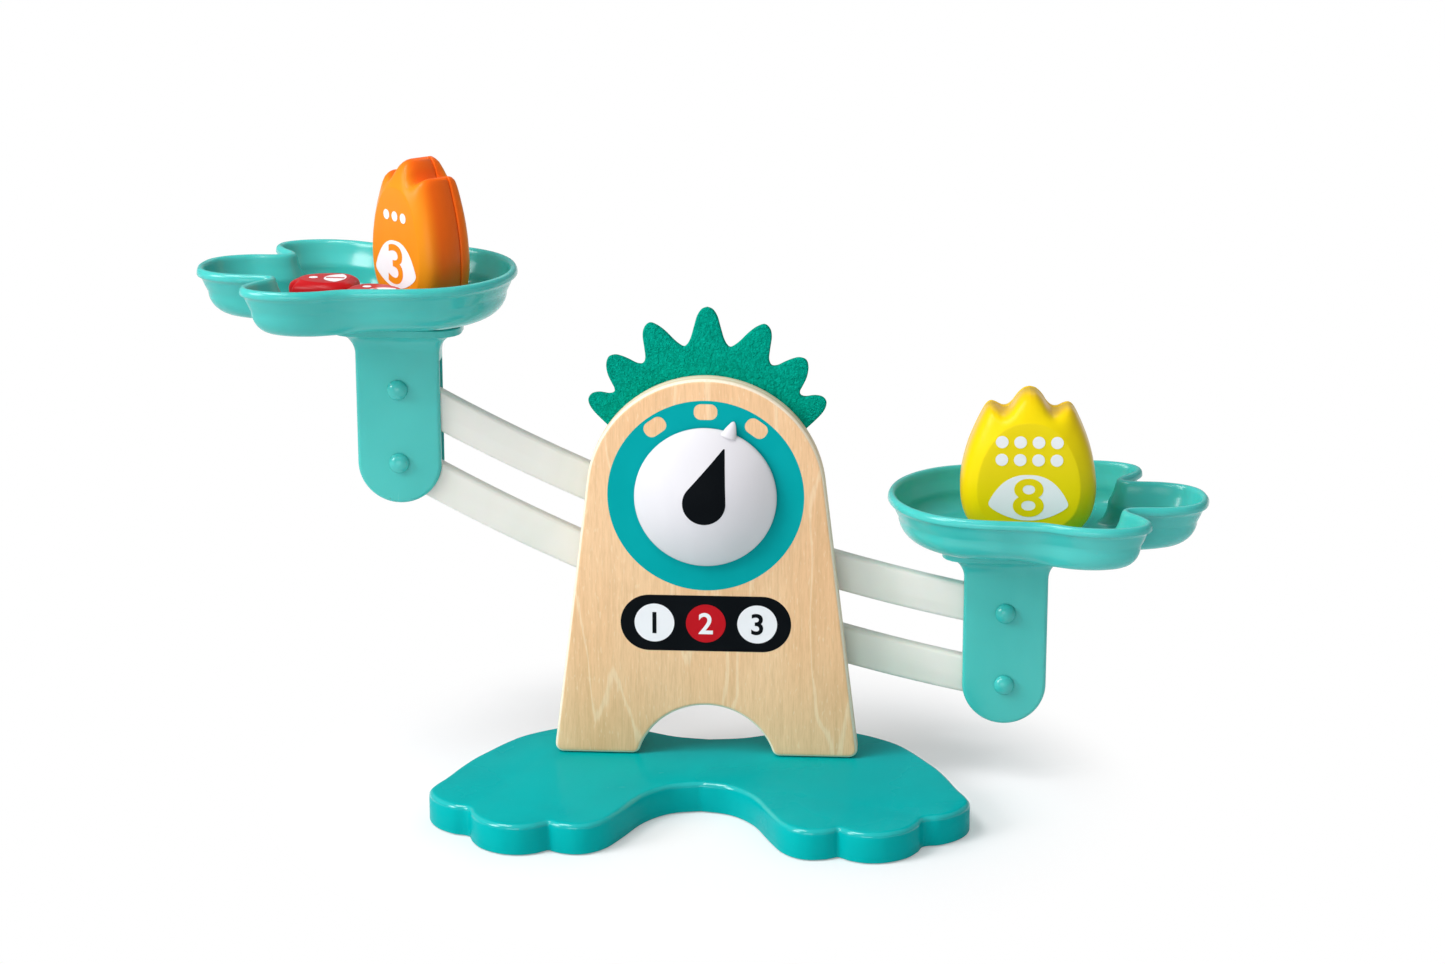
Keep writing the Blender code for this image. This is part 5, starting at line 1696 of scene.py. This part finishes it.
@dataclass
class Studio:
    """The pale floor, the soft lights and the camera at the photo's angle."""

    camera_place: Sequence[float] = (0.0933, -1.3664, 0.5230)
    target: Sequence[float] = (0.0069, 0.0, 0.1317)
    lens: float = 87.2
    sensor: float = 36.0
    middle: Sequence[float] = (0, 0, 0.12)
    lamps: Sequence[tuple] = (      # name, place, size in metres, power in watts
        ("top_lamp", (-0.7, -0.4, 1.4), 0.60, 11.0),
        ("glint_lamp", (-0.5, -0.9, 1.3), 0.10, 1.6),
        ("front_lamp", (-0.3, -1.6, 0.12), 0.90, 6.5),
        ("back_lamp", (0.3, 1.2, 1.2), 0.80, 2.0))
    sun_place: Sequence[float] = (-0.80, -0.40, 0.45)
    sun_strength: float = 1.5
    sun_spread: float = 25.0
    sky_strength: float = 0.40
    floor_colour: Colour = (218, 218, 220)
    floor_glow: float = 0.26
    floor_fade: Point = (0.112, 0.185)
    floor_half: float = 6.0
    floor_drop: float = 0.0002

    def light(self) -> None:
        """Light the scene evenly from one side, and hang square lamps round it."""
        sun = bpy.data.lights.new("broad_sun", "SUN")
        sun.energy = self.sun_strength
        sun.angle = math.radians(self.sun_spread)
        aimed("broad_sun", sun, Vector(self.sun_place), Vector((0, 0, 0)))
        for name, place, size, power in self.lamps:
            lamp = bpy.data.lights.new(name, "AREA")
            lamp.size, lamp.energy = size, power
            aimed(name, lamp, Vector(place), Vector(self.middle))

    def floor(self) -> None:
        """Lay the pale floor, lifted to white where it is seen, and quite white far off."""
        shade = Shade("floor_white")
        shade.dress(Base_Color=self.floor_colour, Roughness=0.9, Specular_IOR_Level=0.1)
        matt = Signal(shade, shade.principled.outputs[0])
        seen = (shade.ray("Camera") + shade.ray("Glossy")
                + shade.ray("Transmission")).at_most(1.0)
        lifted = shade.node("ShaderNodeAddShader", None,
                            {0: matt, 1: shade.white("Emission", self.floor_glow)})
        away = shade.node("ShaderNodeVectorMath", {"operation": "LENGTH"}, {0: shade.place}, 1)
        shade.end(shade.blended(away.eased(*self.floor_fade) * seen,
                                shade.blended(seen, matt, lifted),
                                shade.white("Emission", 1.0)))
        ground = Mould()
        bmesh.ops.create_grid(ground.bm, x_segments=1, y_segments=1, size=self.floor_half)
        ground.transform(Matrix.Translation((0, 0, -self.floor_drop)))
        thing = ground.loose("studio_floor")
        thing.data.materials.append(shade.material)

    def sky(self) -> None:
        """Light the world softly and show it white to the camera."""
        world = bpy.data.worlds.new("studio_sky")
        world.use_nodes = True
        tree = Tree(world.node_tree)
        seen = tree.ray("Camera").at_least(tree.ray("Transmission"))
        tree.end(tree.blended(seen, tree.white("Background", self.sky_strength),
                              tree.white("Background", 1.0)))
        bpy.context.scene.world = world

    def camera(self) -> None:
        """Set the camera where the photo was taken from."""
        data = bpy.data.cameras.new("photo_camera")
        data.lens, data.sensor_width, data.clip_end = self.lens, self.sensor, 30.0
        bpy.context.scene.camera = aimed("photo_camera", data, Vector(self.camera_place),
                                         Vector(self.target))

    def build(self) -> None:
        """Set up the whole studio."""
        self.camera()
        self.floor()
        self.sky()
        self.light()
        bpy.context.scene.view_settings.view_transform = "Standard"


def weights() -> list[Weight]:
    """Return the four weights where they stand or lie."""
    small = dict(value=1, width=0.0240, height=0.0285, thickness=0.0125, side=-1,
                 look=Look.RED, slot="red_plastic", lying=True, dot=0.075, dot_rows=(1,))
    return [
        Weight("weight_8", 8, 0.0555, 0.0610, 0.0270, 1, 0.0080, 0.0, 0.0, Look.YELLOW,
               "yellow_plastic", dot_rows=(4, 4)),
        Weight("weight_3", 3, 0.0450, 0.0620, 0.0240, -1, 0.0095, 0.0028, math.radians(-48),
               Look.ORANGE, "orange_plastic", field_width=0.65, dot_rows=(3,)),
        Weight("weight_1_near", out=-0.0072, back=-0.0182, turn=math.radians(42), **small),
        Weight("weight_1_far", out=-0.0305, back=0.0, turn=math.radians(86), **small)]


def main() -> None:
    """Build every piece in order."""
    logging.basicConfig(level=logging.INFO, format="%(message)s")
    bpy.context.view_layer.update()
    parts = [Studio(), BaseBoard(), Panels(), Crest(), Dial(), Beams(), Carrier(-1), Carrier(1),
             *weights(), Hardware()]
    for part in parts:
        part.build()


if __name__ == "__main__":
    main()
